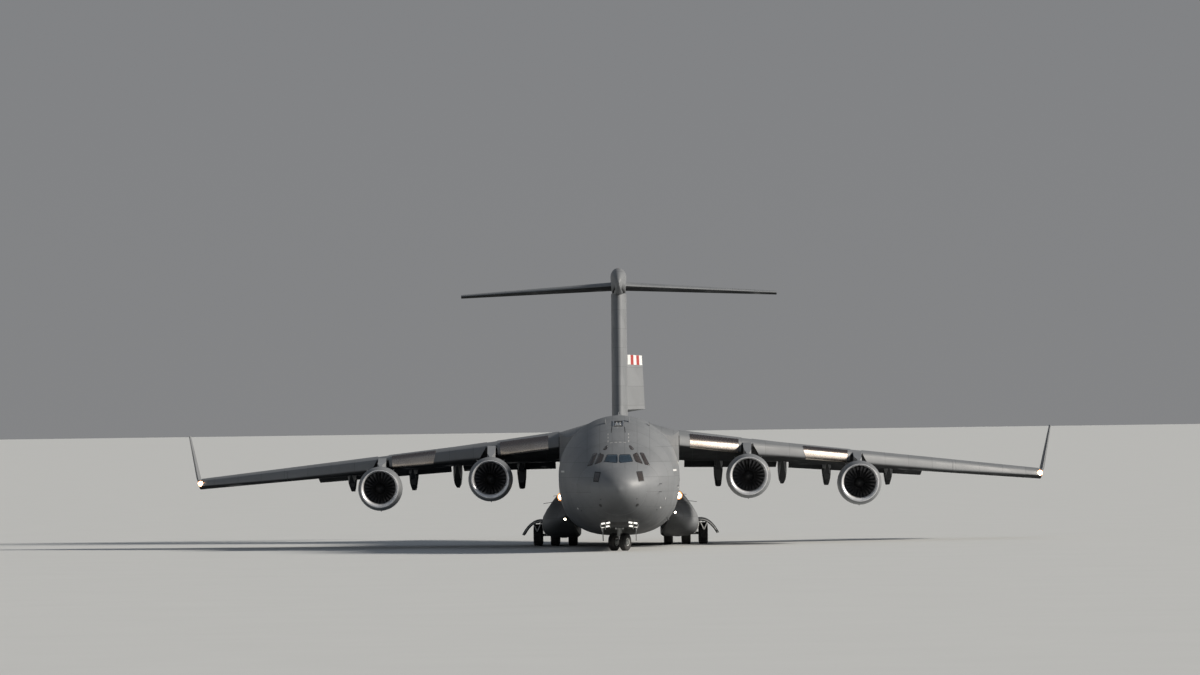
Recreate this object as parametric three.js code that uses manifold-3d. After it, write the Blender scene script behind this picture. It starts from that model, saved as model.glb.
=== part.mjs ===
// A four-engine, high-wing military transport aeroplane with a T-tail, parked on its landing gear.
// It is a half-size model. The nose points to -Y, the aeroplane's left wing to +X, and +Z is up.
// The origin is on the ground, under the middle of the aeroplane's length.
// Places are given as (lateral, station, height) in metres of the real aeroplane:
// lateral from the centre plane, station aft of the nose's tip, height above the ground.

import * as THREE from "three";
import { mergeVertices } from "three/addons/utils/BufferGeometryUtils.js";
import Module from "manifold-3d";

// Driving dimensions of the real aeroplane, in metres.
const SCALE = 0.5;
const M = 1000 * SCALE; // millimetres of the model in one real metre
const LENGTH = 53.04;
const HALF_SPAN = 25.15; // to the wing tip, without the winglet
const WINGLET_REACH = 25.875;
const TAIL_HALF_SPAN = 9.905;
const TOTAL_HEIGHT = 16.79;
const FACE_GAP = 0.0006; // between pieces that rest on each other, 0.3 mm in the model
const MOVING_GAP = 0.016; // between a moving piece and its neighbour, 8 mm in the model
const SKIN = 0.15; // fuselage wall

const wasm = await Module();
wasm.setup();

// Solids

function solid(geometry) {
  const bare = geometry.index ? geometry.toNonIndexed() : geometry.clone();
  for (const name of Object.keys(bare.attributes)) if (name !== "position") bare.deleteAttribute(name);
  const merged = mergeVertices(bare, 1e-3);
  return new wasm.Manifold(
    new wasm.Mesh({
      numProp: 3,
      vertProperties: merged.attributes.position.array,
      triVerts: new Uint32Array(merged.index.array),
    }),
  );
}

function geometryOf(made) {
  const mesh = made.getMesh();
  const points = new Float32Array(mesh.numVert * 3);
  for (let i = 0; i < mesh.numVert; i++) {
    points.set(mesh.vertProperties.subarray(i * mesh.numProp, i * mesh.numProp + 3), i * 3);
  }
  return new THREE.BufferGeometry()
    .setAttribute("position", new THREE.BufferAttribute(points, 3))
    .setIndex(new THREE.BufferAttribute(new Uint32Array(mesh.triVerts), 1));
}

const at = (lateral, station, height) =>
  new THREE.Vector3(lateral * M, (station - LENGTH / 2) * M, height * M);

// A closed body through rings of equal point counts. The two capAxes are the coordinates of its end faces.
function loft(rings, capAxes) {
  const count = rings[0].length;
  const triangles = [];
  for (let r = 0; r + 1 < rings.length; r++) {
    for (let i = 0; i < count; i++) {
      const a = r * count + i;
      const b = r * count + ((i + 1) % count);
      triangles.push([a, b, b + count], [a, b + count, a + count]);
    }
  }
  const area = (p, q, s) => (q.x - p.x) * (s.y - p.y) - (q.y - p.y) * (s.x - p.x);
  const cap = (ring, first, alongRing) => {
    const outline = ring.map((p) => new THREE.Vector2(...capAxes.map((axis) => p.getComponent(axis))));
    const turn = Math.sign(THREE.ShapeUtils.area(outline));
    for (const [a, b, c] of THREE.ShapeUtils.triangulateShape(outline, [])) {
      const same = Math.sign(area(outline[a], outline[b], outline[c])) === turn;
      const face = same === alongRing ? [a, b, c] : [a, c, b];
      triangles.push(face.map((i) => i + first));
    }
  };
  cap(rings[0], 0, false);
  cap(rings[rings.length - 1], (rings.length - 1) * count, true);
  const points = rings.flat();
  const signed = triangles.reduce(
    (sum, [a, b, c]) => sum + points[a].dot(new THREE.Vector3().crossVectors(points[b], points[c])),
    0,
  );
  const facing = signed > 0 ? triangles : triangles.map(([a, b, c]) => [a, c, b]);
  const geometry = new THREE.BufferGeometry()
    .setAttribute("position", new THREE.Float32BufferAttribute(points.flatMap((p) => p.toArray()), 3))
    .setIndex(facing.flat());
  return solid(geometry);
}

// Prisms of an outline drawn in plan (lateral, station), from the side (station, height)
// or from the front (lateral, height).
function extruded(outline, matrix, from, to) {
  const shape = new THREE.Shape(outline.map(([u, v]) => new THREE.Vector2(u * M, v * M)));
  const depth = (to - from) * M;
  const geometry = new THREE.ExtrudeGeometry(shape, { depth, bevelEnabled: false, steps: 1 });
  return solid(geometry.translate(0, 0, from * M).applyMatrix4(matrix));
}
const MIDDLE = (LENGTH / 2) * M;
const FROM_PLAN = new THREE.Matrix4().makeTranslation(0, -MIDDLE, 0);
const FROM_SIDE = new THREE.Matrix4().set(0, 0, 1, 0, 1, 0, 0, -MIDDLE, 0, 1, 0, 0, 0, 0, 0, 1);
const FROM_FRONT = new THREE.Matrix4().set(0, 1, 0, 0, 0, 0, 1, -MIDDLE, 1, 0, 0, 0, 0, 0, 0, 1);
const planPrism = (outline, low, high) => extruded(outline, FROM_PLAN, low, high);
const sidePrism = (outline, right, left) => extruded(outline, FROM_SIDE, right, left);
const frontPrism = (outline, front, back) =>
  extruded(outline.map(([x, z]) => [z, x]), FROM_FRONT, front, back);

// A box between two corners.
const block = ([x0, s0, z0], [x1, s1, z1]) => planPrism([[x0, s0], [x1, s0], [x1, s1], [x0, s1]], z0, z1);

// A round bar, tapered if the radii differ, whose ends may run on past its two points.
function bar(a, b, radiusA, radiusB = radiusA, sides = 12, runOn = 0) {
  const along = new THREE.Vector3().subVectors(b, a);
  const length = along.length();
  along.normalize();
  const growth = ((radiusB - radiusA) / length) * runOn * M;
  const geometry = new THREE.CylinderGeometry(
    (radiusB + growth) * M, (radiusA - growth) * M, length + 2 * runOn * M, sides,
  );
  geometry.applyQuaternion(new THREE.Quaternion().setFromUnitVectors(new THREE.Vector3(0, 1, 0), along));
  const middle = new THREE.Vector3().addVectors(a, b).multiplyScalar(0.5);
  return solid(geometry.translate(middle.x, middle.y, middle.z));
}

// A pin turns in a hole that clears its corners
const pinSides = (radius) => (radius > 0.045 ? 16 : 12);
const holeRadius = (radius) => (radius + FACE_GAP) / Math.cos(Math.PI / pinSides(radius));
const pinBar = (a, b, radius) => bar(a, b, radius, radius, pinSides(radius));
const holeBar = (a, b, radius) => bar(a, b, holeRadius(radius), holeRadius(radius), pinSides(radius));

// A flat arm of the given width along a hinge axis, from one point to another, of the given depth
function arm(a, b, axis, width, depth) {
  const along = new THREE.Vector3().subVectors(b, a);
  const length = along.length();
  const up = new THREE.Vector3().crossVectors(axis, along).normalize();
  const basis = new THREE.Matrix4().makeBasis(axis.clone().normalize(), along.normalize(), up);
  const box = new THREE.BoxGeometry(width * M, length, depth * M).applyMatrix4(basis);
  const middle = new THREE.Vector3().addVectors(a, b).multiplyScalar(0.5);
  return solid(box.translate(middle.x, middle.y, middle.z));
}

// A hinge knuckle at a point of an axis: an eye on an arm of the fixed piece,
// with a pin of the moving piece through it
function knuckle({ point, axis, width, eye, pin, foot }) {
  const u = axis.clone().normalize();
  const off = (distance) => point.clone().addScaledVector(u, distance * M);
  const lug = bar(off(-width / 2), off(width / 2), eye)
    .add(arm(point, foot, u, width, eye * 1.5))
    .subtract(holeBar(off(-width), off(width), pin));
  return { lug, pin: pinBar(off(-width / 2 - 0.08), off(width / 2 + 0.08), pin) };
}

// A body turned about the fore-and-aft axis from (distance aft, radius) points, in its own frame.
function turned(profile, sides) {
  const points = profile.map(([aft, radius]) => new THREE.Vector2(radius * M, aft * M));
  return solid(new THREE.LatheGeometry(points, sides));
}

// Smooth values between the rows of a table whose first column is the station, without overshoot.
function between(table, station) {
  const last = table.length - 1;
  let k = 0;
  while (k < last - 1 && station > table[k + 1][0]) k++;
  const step = (i) => table[i + 1][0] - table[i][0];
  const slope = (i, c) => (table[i + 1][c] - table[i][c]) / step(i);
  const tangent = (i, c) => {
    if (i === 0) return slope(0, c);
    if (i === last) return slope(last - 1, c);
    const before = slope(i - 1, c);
    const after = slope(i, c);
    return before * after <= 0 ? 0 : (2 * before * after) / (before + after);
  };
  const h = step(k);
  const t = Math.min(1, Math.max(0, (station - table[k][0]) / h));
  return table[k].map((value, c) => {
    if (c === 0) return station;
    const bend = (2 * t ** 3 - 3 * t ** 2 + 1) * value + (3 * t ** 2 - 2 * t ** 3) * table[k + 1][c];
    return bend + h * ((t ** 3 - 2 * t ** 2 + t) * tangent(k, c) + (t ** 3 - t ** 2) * tangent(k + 1, c));
  });
}

// Materials

const paint = (color, roughness = 0.55) =>
  new THREE.MeshStandardMaterial({ color, roughness, metalness: 0.1 });
const GREY = paint(0x6f7375);
const DARK_GREY = paint(0x4d5153);
const INTERIOR = paint(0x8b8f8a, 0.7);
const GLASS = new THREE.MeshStandardMaterial({
  color: 0x2c3a44, roughness: 0.05, metalness: 0, transparent: true, opacity: 0.5,
});
const BARE_METAL = new THREE.MeshStandardMaterial({ color: 0xb9babb, roughness: 0.3, metalness: 0.9 });
const GEAR_WHITE = paint(0xc9cac8, 0.4);
const RUBBER = new THREE.MeshStandardMaterial({ color: 0x1a1a1b, roughness: 0.85, metalness: 0 });

const aeroplane = new THREE.Group();
const leftSide = new THREE.Group();
const rightSide = new THREE.Group();
rightSide.scale.x = -1;
aeroplane.add(leftSide, rightSide);

// Puts a solid into a group as a named mesh, its own origin in the middle of its box.
function piece(name, made, material, group = aeroplane) {
  const geometry = geometryOf(made);
  geometry.computeBoundingBox();
  const centre = geometry.boundingBox.getCenter(new THREE.Vector3());
  geometry.translate(-centre.x, -centre.y, -centre.z);
  const mesh = new THREE.Mesh(geometry, material);
  mesh.name = name;
  mesh.position.copy(centre);
  group.add(mesh);
  return mesh;
}

function pair(name, made, material) {
  return [piece(`${name}_left`, made, material, leftSide), piece(`${name}_right`, made, material, rightSide)];
}

// Turns a mesh about the line through two points, by degrees
function turnAbout(mesh, a, b, degrees) {
  const axis = new THREE.Vector3().subVectors(b, a).normalize();
  const turn = new THREE.Quaternion().setFromAxisAngle(axis, THREE.MathUtils.degToRad(degrees));
  mesh.position.sub(a).applyQuaternion(turn).add(a);
  mesh.quaternion.copy(turn);
}

// Fuselage
// columns: station, half width, top, bottom, height of greatest width, squareness of the lower half
const HULL = [
  [0.0, 0.06, 3.56, 3.44, 3.5, 2.0],
  [0.12, 0.52, 3.98, 3.03, 3.51, 2.0],
  [0.45, 1.0, 4.32, 2.56, 3.53, 2.05],
  [1.1, 1.56, 4.68, 2.05, 3.58, 2.1],
  [2.0, 2.1, 5.03, 1.62, 3.68, 2.2],
  [3.0, 2.55, 5.73, 1.3, 3.82, 2.3],
  [4.0, 2.88, 6.37, 1.09, 3.95, 2.4],
  [5.5, 3.2, 7.03, 0.92, 4.08, 2.5],
  [7.5, 3.38, 7.44, 0.83, 4.17, 2.62],
  [10.0, 3.43, 7.6, 0.8, 4.2, 2.7],
  [28.0, 3.43, 7.6, 0.8, 4.2, 2.7],
  [30.0, 3.43, 7.6, 0.83, 4.22, 2.7],
  [33.0, 3.4, 7.6, 1.45, 4.42, 2.8],
  [36.0, 3.3, 7.6, 2.35, 4.75, 2.9],
  [39.0, 2.95, 7.58, 3.28, 5.2, 2.8],
  [42.0, 2.4, 7.5, 4.15, 5.68, 2.6],
  [45.0, 1.62, 7.32, 4.92, 6.05, 2.3],
  [47.5, 0.85, 7.0, 5.55, 6.3, 2.1],
  [48.6, 0.3, 6.68, 6.02, 6.36, 2.0],
];
const HULL_SIDES = 28;
const RADOME_END = 1.1;
const NOSE_END = 9.0;
const CENTRE_END = 29.5;
const TAIL_END = 48.6;

function hullRing(station, inset) {
  const [, halfWidth, top, bottom, middle, squareness] = between(HULL, station);
  const ring = [];
  for (let k = 0; k < HULL_SIDES; k++) {
    const angle = (2 * Math.PI * (k + 0.5)) / HULL_SIDES;
    const c = Math.cos(angle);
    const s = Math.sin(angle);
    const power = s > 0 ? 1 : 2 / squareness;
    const lateral = Math.sign(c) * Math.abs(c) ** power * (halfWidth - inset);
    const reach = s > 0 ? top - middle - inset : middle - bottom - inset;
    const height = middle + Math.sign(s) * Math.abs(s) ** power * reach;
    ring.push(at(lateral, station, height));
  }
  return ring;
}
const hullSolid = (stations, inset = 0) => loft(stations.map((s) => hullRing(s, inset)), [0, 2]);

const NOSE_STATIONS = [RADOME_END + FACE_GAP, 1.6, 2.2, 3.0, 3.9, 5.2, 7.0, NOSE_END];
const AFT_STATIONS = [CENTRE_END + FACE_GAP, 31.2, 33.6, 36.0, 38.4, 40.8, 43.2, 45.6, TAIL_END];
const CENTRE_STATIONS = [NOSE_END + FACE_GAP, 10.0, 19.0, 28.0, CENTRE_END];
// The insides of the fuselage's sections, each a little longer than its section
const NOSE_ROOM = [RADOME_END + SKIN, 1.6, 2.2, 3.0, 3.9, 5.2, 7.0, NOSE_END + 0.1];
const CENTRE_ROOM = [NOSE_END - 0.1, 10.0, 19.0, 28.0, CENTRE_END + 0.1];
const AFT_ROOM = [CENTRE_END - 0.1, ...AFT_STATIONS.slice(1, -1)];
const NOSE_SKIN = 0.12;
const ALL_STATIONS = [...NOSE_STATIONS, ...CENTRE_STATIONS.slice(1), ...AFT_STATIONS.slice(1)];
const hullBlank = hullSolid(ALL_STATIONS, -FACE_GAP);

function radome() {
  const stations = [...HULL.slice(0, 3).map((row) => row[0]), 0.75, RADOME_END];
  piece("radome", hullSolid(stations), DARK_GREY);
}

// Flight-deck windows, as seen from the front: (lateral, height) corners on the left half
const WINDOWS = [
  [[0.06, 5.4], [0.66, 5.4], [0.82, 5.02], [0.06, 4.95]],
  [[0.78, 5.41], [1.07, 5.49], [1.37, 4.85], [0.93, 5.0]],
  [[1.16, 5.51], [1.4, 5.5], [1.76, 4.76], [1.46, 4.82]],
  [[0.56, 5.9], [0.68, 5.92], [0.9, 5.68], [0.69, 5.64]],
  [[1.02, 4.45], [1.32, 4.47], [1.42, 3.92], [1.12, 3.92]],
];
const WINDOW_CUT = [1.25, 4.6]; // stations between which the window cuts run
const NOSE_BAY = { halfWidth: 0.95, front: 2.9, back: 6.1, roof: 2.3, wall: 0.08 };
const CREW_DOOR = { front: 6.35, back: 7.25, sill: 1.75, head: 3.55 };
const CREW_HINGE = {
  stations: [6.55, 7.05], lateral: 2.76, height: 1.72, width: 0.08, eye: 0.045, pin: 0.022,
};
const GLASS_THICKNESS = 0.04;
const DECK = { front: 2.3, back: 7.6, floor: 4.02, thickness: 0.12 };

const bothSides = (outline) => [outline, outline.map(([x, z]) => [-x, z])];

function noseSection() {
  const { halfWidth, front, back, roof, wall } = NOSE_BAY;
  const outer = hullSolid(NOSE_STATIONS);
  const inner = hullSolid(NOSE_ROOM, NOSE_SKIN);
  const bayBox = block([-halfWidth - wall, front - wall, 0.5], [halfWidth + wall, back + wall, roof + wall]);
  const bayHole = block([-halfWidth, front, 0.3], [halfWidth, back, roof]);
  let shell = outer.subtract(inner).add(bayBox.intersect(outer)).subtract(bayHole);
  for (const outline of WINDOWS.flatMap(bothSides)) {
    shell = shell.subtract(frontPrism(outline, ...WINDOW_CUT));
  }
  const door = block([1.5, CREW_DOOR.front, CREW_DOOR.sill], [4, CREW_DOOR.back, CREW_DOOR.head]);
  const doorKerf = block(
    [1.5, CREW_DOOR.front - MOVING_GAP, CREW_DOOR.sill - MOVING_GAP],
    [4, CREW_DOOR.back + MOVING_GAP, CREW_DOOR.head + MOVING_GAP],
  );
  let leaf = shell.intersect(door);
  let section = shell.subtract(doorKerf);
  const aft = new THREE.Vector3(0, 1, 0);
  for (const station of CREW_HINGE.stations) {
    const { lateral, height, width, eye } = CREW_HINGE;
    const hinge = knuckle({
      ...CREW_HINGE,
      point: at(lateral, station, height),
      axis: aft,
      foot: at(lateral - 0.38, station, height - 0.15),
    });
    for (const way of [-1, 1]) {
      const place = station + way * (width / 2 + MOVING_GAP + 0.025);
      const [low, high] = [at(lateral + 0.02, place, height - 0.02), at(lateral - 0.1, place, height + 0.16)];
      leaf = leaf.add(arm(low, high, aft, 0.05, 0.06));
    }
    leaf = leaf.add(hinge.pin);
    section = section.add(hinge.lug);
  }
  piece("crew_door", leaf, GREY);
  piece("nose_section", section, GREY);
}

function glazing() {
  const band = hullSolid(NOSE_ROOM, NOSE_SKIN + FACE_GAP)
    .subtract(hullSolid(NOSE_ROOM, NOSE_SKIN + GLASS_THICKNESS));
  const outline = [[-1.95, 3.8], [1.95, 3.8], [1.95, 5.6], [1.1, 6.05], [-1.1, 6.05], [-1.95, 5.6]];
  piece("flight_deck_glazing", band.intersect(frontPrism(outline, 1.3, 3.95)), GLASS);
}

// Flight deck: floor, rear bulkhead with its doorway, instrument panel, console and the pilots' seats
function flightDeck() {
  const { front, back, floor, thickness } = DECK;
  const room = hullSolid(NOSE_ROOM, NOSE_SKIN + FACE_GAP);
  const slab = block([-3.4, front, floor - thickness], [3.4, back, floor]);
  const bulkhead = block([-3.4, back - 0.1, floor - 0.05], [3.4, back, 8]);
  const doorway = block([-0.42, back - 0.3, floor], [0.42, back + 0.3, floor + 1.9]);
  let deck = slab.add(bulkhead).intersect(room).subtract(doorway);
  const panel = [[2.45, floor - 0.02], [2.75, floor - 0.02], [2.95, 4.85], [2.5, 4.88]];
  deck = deck.add(sidePrism(panel, -1.05, 1.05));
  deck = deck.add(block([-0.22, 2.7, floor - 0.02], [0.22, 4.0, 4.5]));
  for (const lateral of [-0.75, 0.75]) {
    deck = deck.add(block([lateral - 0.27, 3.3, floor - 0.02], [lateral + 0.27, 3.85, 4.5]));
    const seatBack = [[3.75, 4.4], [3.9, 4.4], [4.05, 5.2], [3.93, 5.2]];
    deck = deck.add(sidePrism(seatBack, lateral - 0.25, lateral + 0.25));
  }
  piece("flight_deck", deck, INTERIOR);
}

function centreSection() {
  piece("centre_section", hullSolid(CENTRE_STATIONS).subtract(hullSolid(CENTRE_ROOM, SKIN)), GREY);
}

const FLOOR = { front: 7.8, back: 29.3, top: 1.65, thickness: 0.22 };
function cargoFloor() {
  const { front, back, top, thickness } = FLOOR;
  const forward = hullSolid(NOSE_ROOM, SKIN + FACE_GAP)
    .intersect(block([-4, 5, 0], [4, NOSE_END - FACE_GAP, 8]));
  const room = forward.add(hullSolid(CENTRE_ROOM, SKIN + FACE_GAP));
  piece("cargo_floor", block([-3, front, top - thickness], [3, back, top]).intersect(room), INTERIOR);
}

// Aft fuselage with the loading ramp and the cargo door cut out of its underside
const RAMP = { front: 29.9, lipLow: 36.9, lipHigh: 35.0, height: 3.7, halfWidth: 2.42, frontGap: 0.036 };
const RAMP_HINGE = {
  laterals: [-0.9, 0.9], station: 29.98, height: 0.94, width: 0.16, eye: 0.085, pin: 0.035,
};
const CARGO_DOOR = { back: 41.3, top: 4.9, frontHalfWidth: 2.42, backHalfWidth: 1.6 };
const DOOR_HINGE = {
  laterals: [-0.7, 0.7], station: 41.18, height: 4.34, width: 0.14, eye: 0.08, pin: 0.035,
};

function aftSection() {
  const outer = hullSolid(AFT_STATIONS);
  const shell = outer.subtract(hullSolid(AFT_ROOM, SKIN));
  const lean = (RAMP.lipLow - RAMP.lipHigh) / RAMP.height;
  const rampCut = (gap, frontGap) => {
    const front = RAMP.front - frontGap;
    const outline = [
      [front, 0], [RAMP.lipLow + gap, 0], [RAMP.lipHigh + gap, RAMP.height], [front, RAMP.height],
    ];
    return sidePrism(outline, -RAMP.halfWidth - gap, RAMP.halfWidth + gap);
  };
  const doorCut = (gap) => {
    const front = RAMP.lipLow + 2 * MOVING_GAP - 1.5 * gap;
    const end = CARGO_DOOR.back + 2 * gap;
    const { top } = CARGO_DOOR;
    const side = sidePrism([[front, 0], [end, 0], [end, top], [front - lean * top, top]], -3, 3);
    const [wide, narrow] = [CARGO_DOOR.frontHalfWidth + gap, CARGO_DOOR.backHalfWidth + gap];
    const plan = planPrism([[-wide, 34.5], [wide, 34.5], [narrow, end], [-narrow, end]], 0, top);
    return side.intersect(plan);
  };
  let ramp = shell.intersect(rampCut(0, 0));
  let door = shell.intersect(doorCut(0));
  let section = shell.subtract(rampCut(MOVING_GAP, RAMP.frontGap)).subtract(doorCut(MOVING_GAP));
  const sideways = new THREE.Vector3(1, 0, 0);
  for (const lateral of RAMP_HINGE.laterals) {
    const { station, height, width, eye } = RAMP_HINGE;
    const point = at(lateral, station, height);
    const foot = at(lateral, RAMP.front - 0.2, height);
    const hinge = knuckle({ ...RAMP_HINGE, point, axis: sideways, foot });
    const half = width / 2 + MOVING_GAP;
    const notch = block([lateral - half, RAMP.front - 1, 0], [lateral + half, station + eye + MOVING_GAP, 2]);
    ramp = ramp.subtract(notch).add(hinge.pin);
    section = section.add(hinge.lug);
  }
  for (const lateral of DOOR_HINGE.laterals) {
    const { station, height, width, eye } = DOOR_HINGE;
    const point = at(lateral, station, height);
    const foot = at(lateral, CARGO_DOOR.back + 0.32, height - 0.2);
    const hinge = knuckle({ ...DOOR_HINGE, point, axis: sideways, foot });
    const half = width / 2 + MOVING_GAP;
    const wide = half + 0.06;
    const cheeks = block([lateral - wide, station - eye, 4.02], [lateral + wide, station + eye, height + eye])
      .subtract(block([lateral - half, station - 1, 3], [lateral + half, station + 1, 5]));
    const back = block([lateral - half, station - 0.2, height - eye - MOVING_GAP], [lateral + half, 42, 5]);
    door = door.add(cheeks).subtract(back).add(hinge.pin);
    section = section.add(hinge.lug);
  }
  piece("cargo_ramp", ramp, GREY);
  piece("cargo_door", door, GREY);
  piece("aft_section", section, GREY);
}

// Wing centre box and its fairing, which sits on the crown of the fuselage between the wing roots
// columns: station, half width, share of the full bulge over the crown
const FAIRING = [
  [12.6, 1.3, 0.0],
  [14.4, 2.5, 0.25],
  [16.2, 3.2, 0.8],
  [17.4, 3.455, 1.0],
  [28.6, 3.455, 1.0],
  [30.4, 3.2, 0.8],
  [32.4, 2.4, 0.25],
  [34.2, 1.2, 0.0],
];
const FAIRING_HALF_WIDTH = 3.455;
const FAIRING_FOOT = 4.9;
const ROOT = FAIRING_HALF_WIDTH + FACE_GAP; // lateral place of the wing's root face
// columns: share of the half width, height of the full section from the flat side up to the crown
const FAIRING_SHOULDER = [
  [1, 6.66], [0.96, 6.71], [0.86, 6.78], [0.74, 6.92], [0.62, 7.16],
  [0.5, 7.38], [0.34, 7.54], [0.17, 7.63], [0, 7.67],
];
const FAIRING_SUNK = 0.4; // how far its lower edge lies under the crown at its ends

function wingFairing() {
  const [, crownHalfWidth, crownTop, , crownMiddle] = between(HULL, 20);
  const crown = (lateral) =>
    crownMiddle + (crownTop - crownMiddle) * Math.sqrt(1 - Math.min(1, lateral / crownHalfWidth) ** 2);
  const shoulder = (lateral) => {
    const share = lateral / FAIRING_HALF_WIDTH;
    const k = Math.max(1, FAIRING_SHOULDER.findIndex((row) => row[0] <= share));
    const [[outerShare, outer], [innerShare, inner]] = [FAIRING_SHOULDER[k - 1], FAIRING_SHOULDER[k]];
    return outer + ((inner - outer) * (outerShare - share)) / (outerShare - innerShare);
  };
  const rings = FAIRING.map(([station, halfWidth, bulge]) => {
    const half = FAIRING_SHOULDER.map(([share]) => {
      const [lateral, low] = [share * halfWidth, crown(share * halfWidth)];
      return [lateral, low + bulge * (shoulder(lateral) - low) - 0.05 * (1 - bulge)];
    });
    const foot = FAIRING_FOOT * bulge + (crown(halfWidth) - FAIRING_SUNK) * (1 - bulge);
    half.unshift([halfWidth, foot], [halfWidth, (foot + half[0][1]) / 2]);
    const other = half.slice(0, -1).reverse().map(([x, z]) => [-x, z]);
    return [...half, ...other].map(([x, z]) => at(x, station, z));
  });
  piece("wing_fairing", loft(rings, [0, 2]).subtract(hullBlank), GREY);
}

// Wing
// columns: lateral, leading edge's station and height, chord, thickness share, incidence in degrees
const SWEEP = 0.522; // leading edge's station per lateral metre
const WING_SECTIONS = [
  [ROOT, 16.3 + ROOT * SWEEP, 6.17, 10.71, 0.145, 5.8],
  [9.5, 16.3 + 9.5 * SWEEP, 5.58, 7.4, 0.13, 5.8],
  [HALF_SPAN, 16.3 + HALF_SPAN * SWEEP, 3.94, 3.9, 0.135, 5.8],
];
const AIRFOIL_X = [1.0, 0.86, 0.72, 0.56, 0.4, 0.26, 0.14, 0.06, 0.015, 0.0];
const halfThickness = (x) =>
  5 * (0.2969 * Math.sqrt(x) - 0.126 * x - 0.3516 * x ** 2 + 0.2843 * x ** 3 - 0.1015 * x ** 4);

function airfoil(thickness, grow, chord) {
  const upper = AIRFOIL_X.map((x) => [x, thickness * halfThickness(x) + grow / chord]);
  const lower = [...upper].slice(0, -1).reverse().map(([x, z]) => [x, -z]);
  const nose = [-grow / chord, 0];
  return [...upper.slice(0, -1), nose, ...lower];
}

const chordPoint = ([lateral, station, height, chord, , incidence], x, z = 0) => {
  const angle = THREE.MathUtils.degToRad(incidence);
  return at(
    lateral,
    station + chord * (x * Math.cos(angle) + z * Math.sin(angle)),
    height + chord * (z * Math.cos(angle) - x * Math.sin(angle)),
  );
};

const wingSolid = (sections, grow = 0) =>
  loft(sections.map((row) => airfoil(row[4], grow, row[3]).map(([x, z]) => chordPoint(row, x, z))), [1, 2]);

// The section at a lateral place between two rows
function sectionAt(table, lateral) {
  const k = lateral > table[1][0] && table.length > 2 ? 1 : 0;
  const t = (lateral - table[k][0]) / (table[k + 1][0] - table[k][0]);
  return table[k].map((value, c) => value + t * (table[k + 1][c] - value));
}

// Splits a surface that turns about a hinge line inside it: the moving part gets a round nose,
// the cut for it leaves the fixed part with a hollow, and pins of the fixed part hold its ends.
// The slabs hold the cut and the moving part between their ends, and aftOf is all that lies behind the line.
function hinged(whole, { a, b, radii, slab, slabInner, aftOf, pinned = [true, true], clear = MOVING_GAP }) {
  const nose = bar(a, b, ...radii, 20, 0.6);
  const hollow = bar(a, b, ...radii.map((radius) => radius + clear), 20, 0.6);
  const cut = aftOf.add(hollow).intersect(slab);
  const moving = whole.intersect(slabInner).intersect(aftOf.add(nose));
  const along = new THREE.Vector3().subVectors(b, a).normalize().multiplyScalar(M);
  const ends = [[a, -1], [b, 1]].filter((_, k) => pinned[k]).map(([end, way]) => {
    const reach = (distance) => end.clone().addScaledVector(along, way * distance);
    return { pin: pinBar(reach(-END_PIN.inside), reach(END_PIN.outside), END_PIN.radius),
      hole: holeBar(reach(-END_PIN.inside - MOVING_GAP), reach(END_PIN.outside), END_PIN.radius) };
  });
  return {
    moving: ends.reduce((made, { hole }) => made.subtract(hole), moving),
    fixed: ends.reduce((made, { pin }) => made.add(pin), whole.subtract(cut)),
  };
}
const END_PIN = { radius: 0.035, inside: 0.2, outside: 0.25 };

// All that lies behind a surface's hinge line in plan, between two heights
function behindLine({ from, to }, a, b, back, heights) {
  const station = (p) => p.y / M + LENGTH / 2;
  const slope = (station(b) - station(a)) / (to - from);
  const [inner, outer] = [from - 1, to + 1];
  const outline = [[inner, station(a) - slope], [outer, station(b) + slope], [outer, back], [inner, back]];
  return planPrism(outline, ...heights);
}

const FLAPS = [
  { name: "flap_inboard", from: 3.85, to: 9.3, front: 0.7, pivotBelow: 0.68, innerGap: 0.12 },
  { name: "flap_outboard", from: 10.06, to: 18.0, front: 0.68, pivotBelow: 0.5, innerGap: 0.21 },
];
const FLAP_PIVOT_AHEAD = 0.1;
const FLAP_OUTER_GAP = 0.08;
const FLAP_REST = 10; // degrees below the retracted place
const AILERON = { from: 18.4, to: 24.2, front: 0.73 };
const SURFACE_END_GAP = 0.09; // at the ends of ailerons and elevators
// columns: lateral, share of the chord where it starts, length behind the trailing edge, depth below the chord
const TRACK_FAIRINGS = [
  [5.82, 0.5, 0.5, 1.58],
  [9.6, 0.46, 0.5, 1.52],
  [12.25, 0.44, 0.5, 1.22],
  [15.95, 0.42, 0.45, 0.95],
];
const TRACK_HALF_WIDTH = 0.25;
// From the front a track fairing narrows to its keel; columns: share of the half width, height above the keel
const TRACK_KEEL = [[1, 4], [1, 0.75], [0.74, 0.26], [0.3, 0]];

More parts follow.
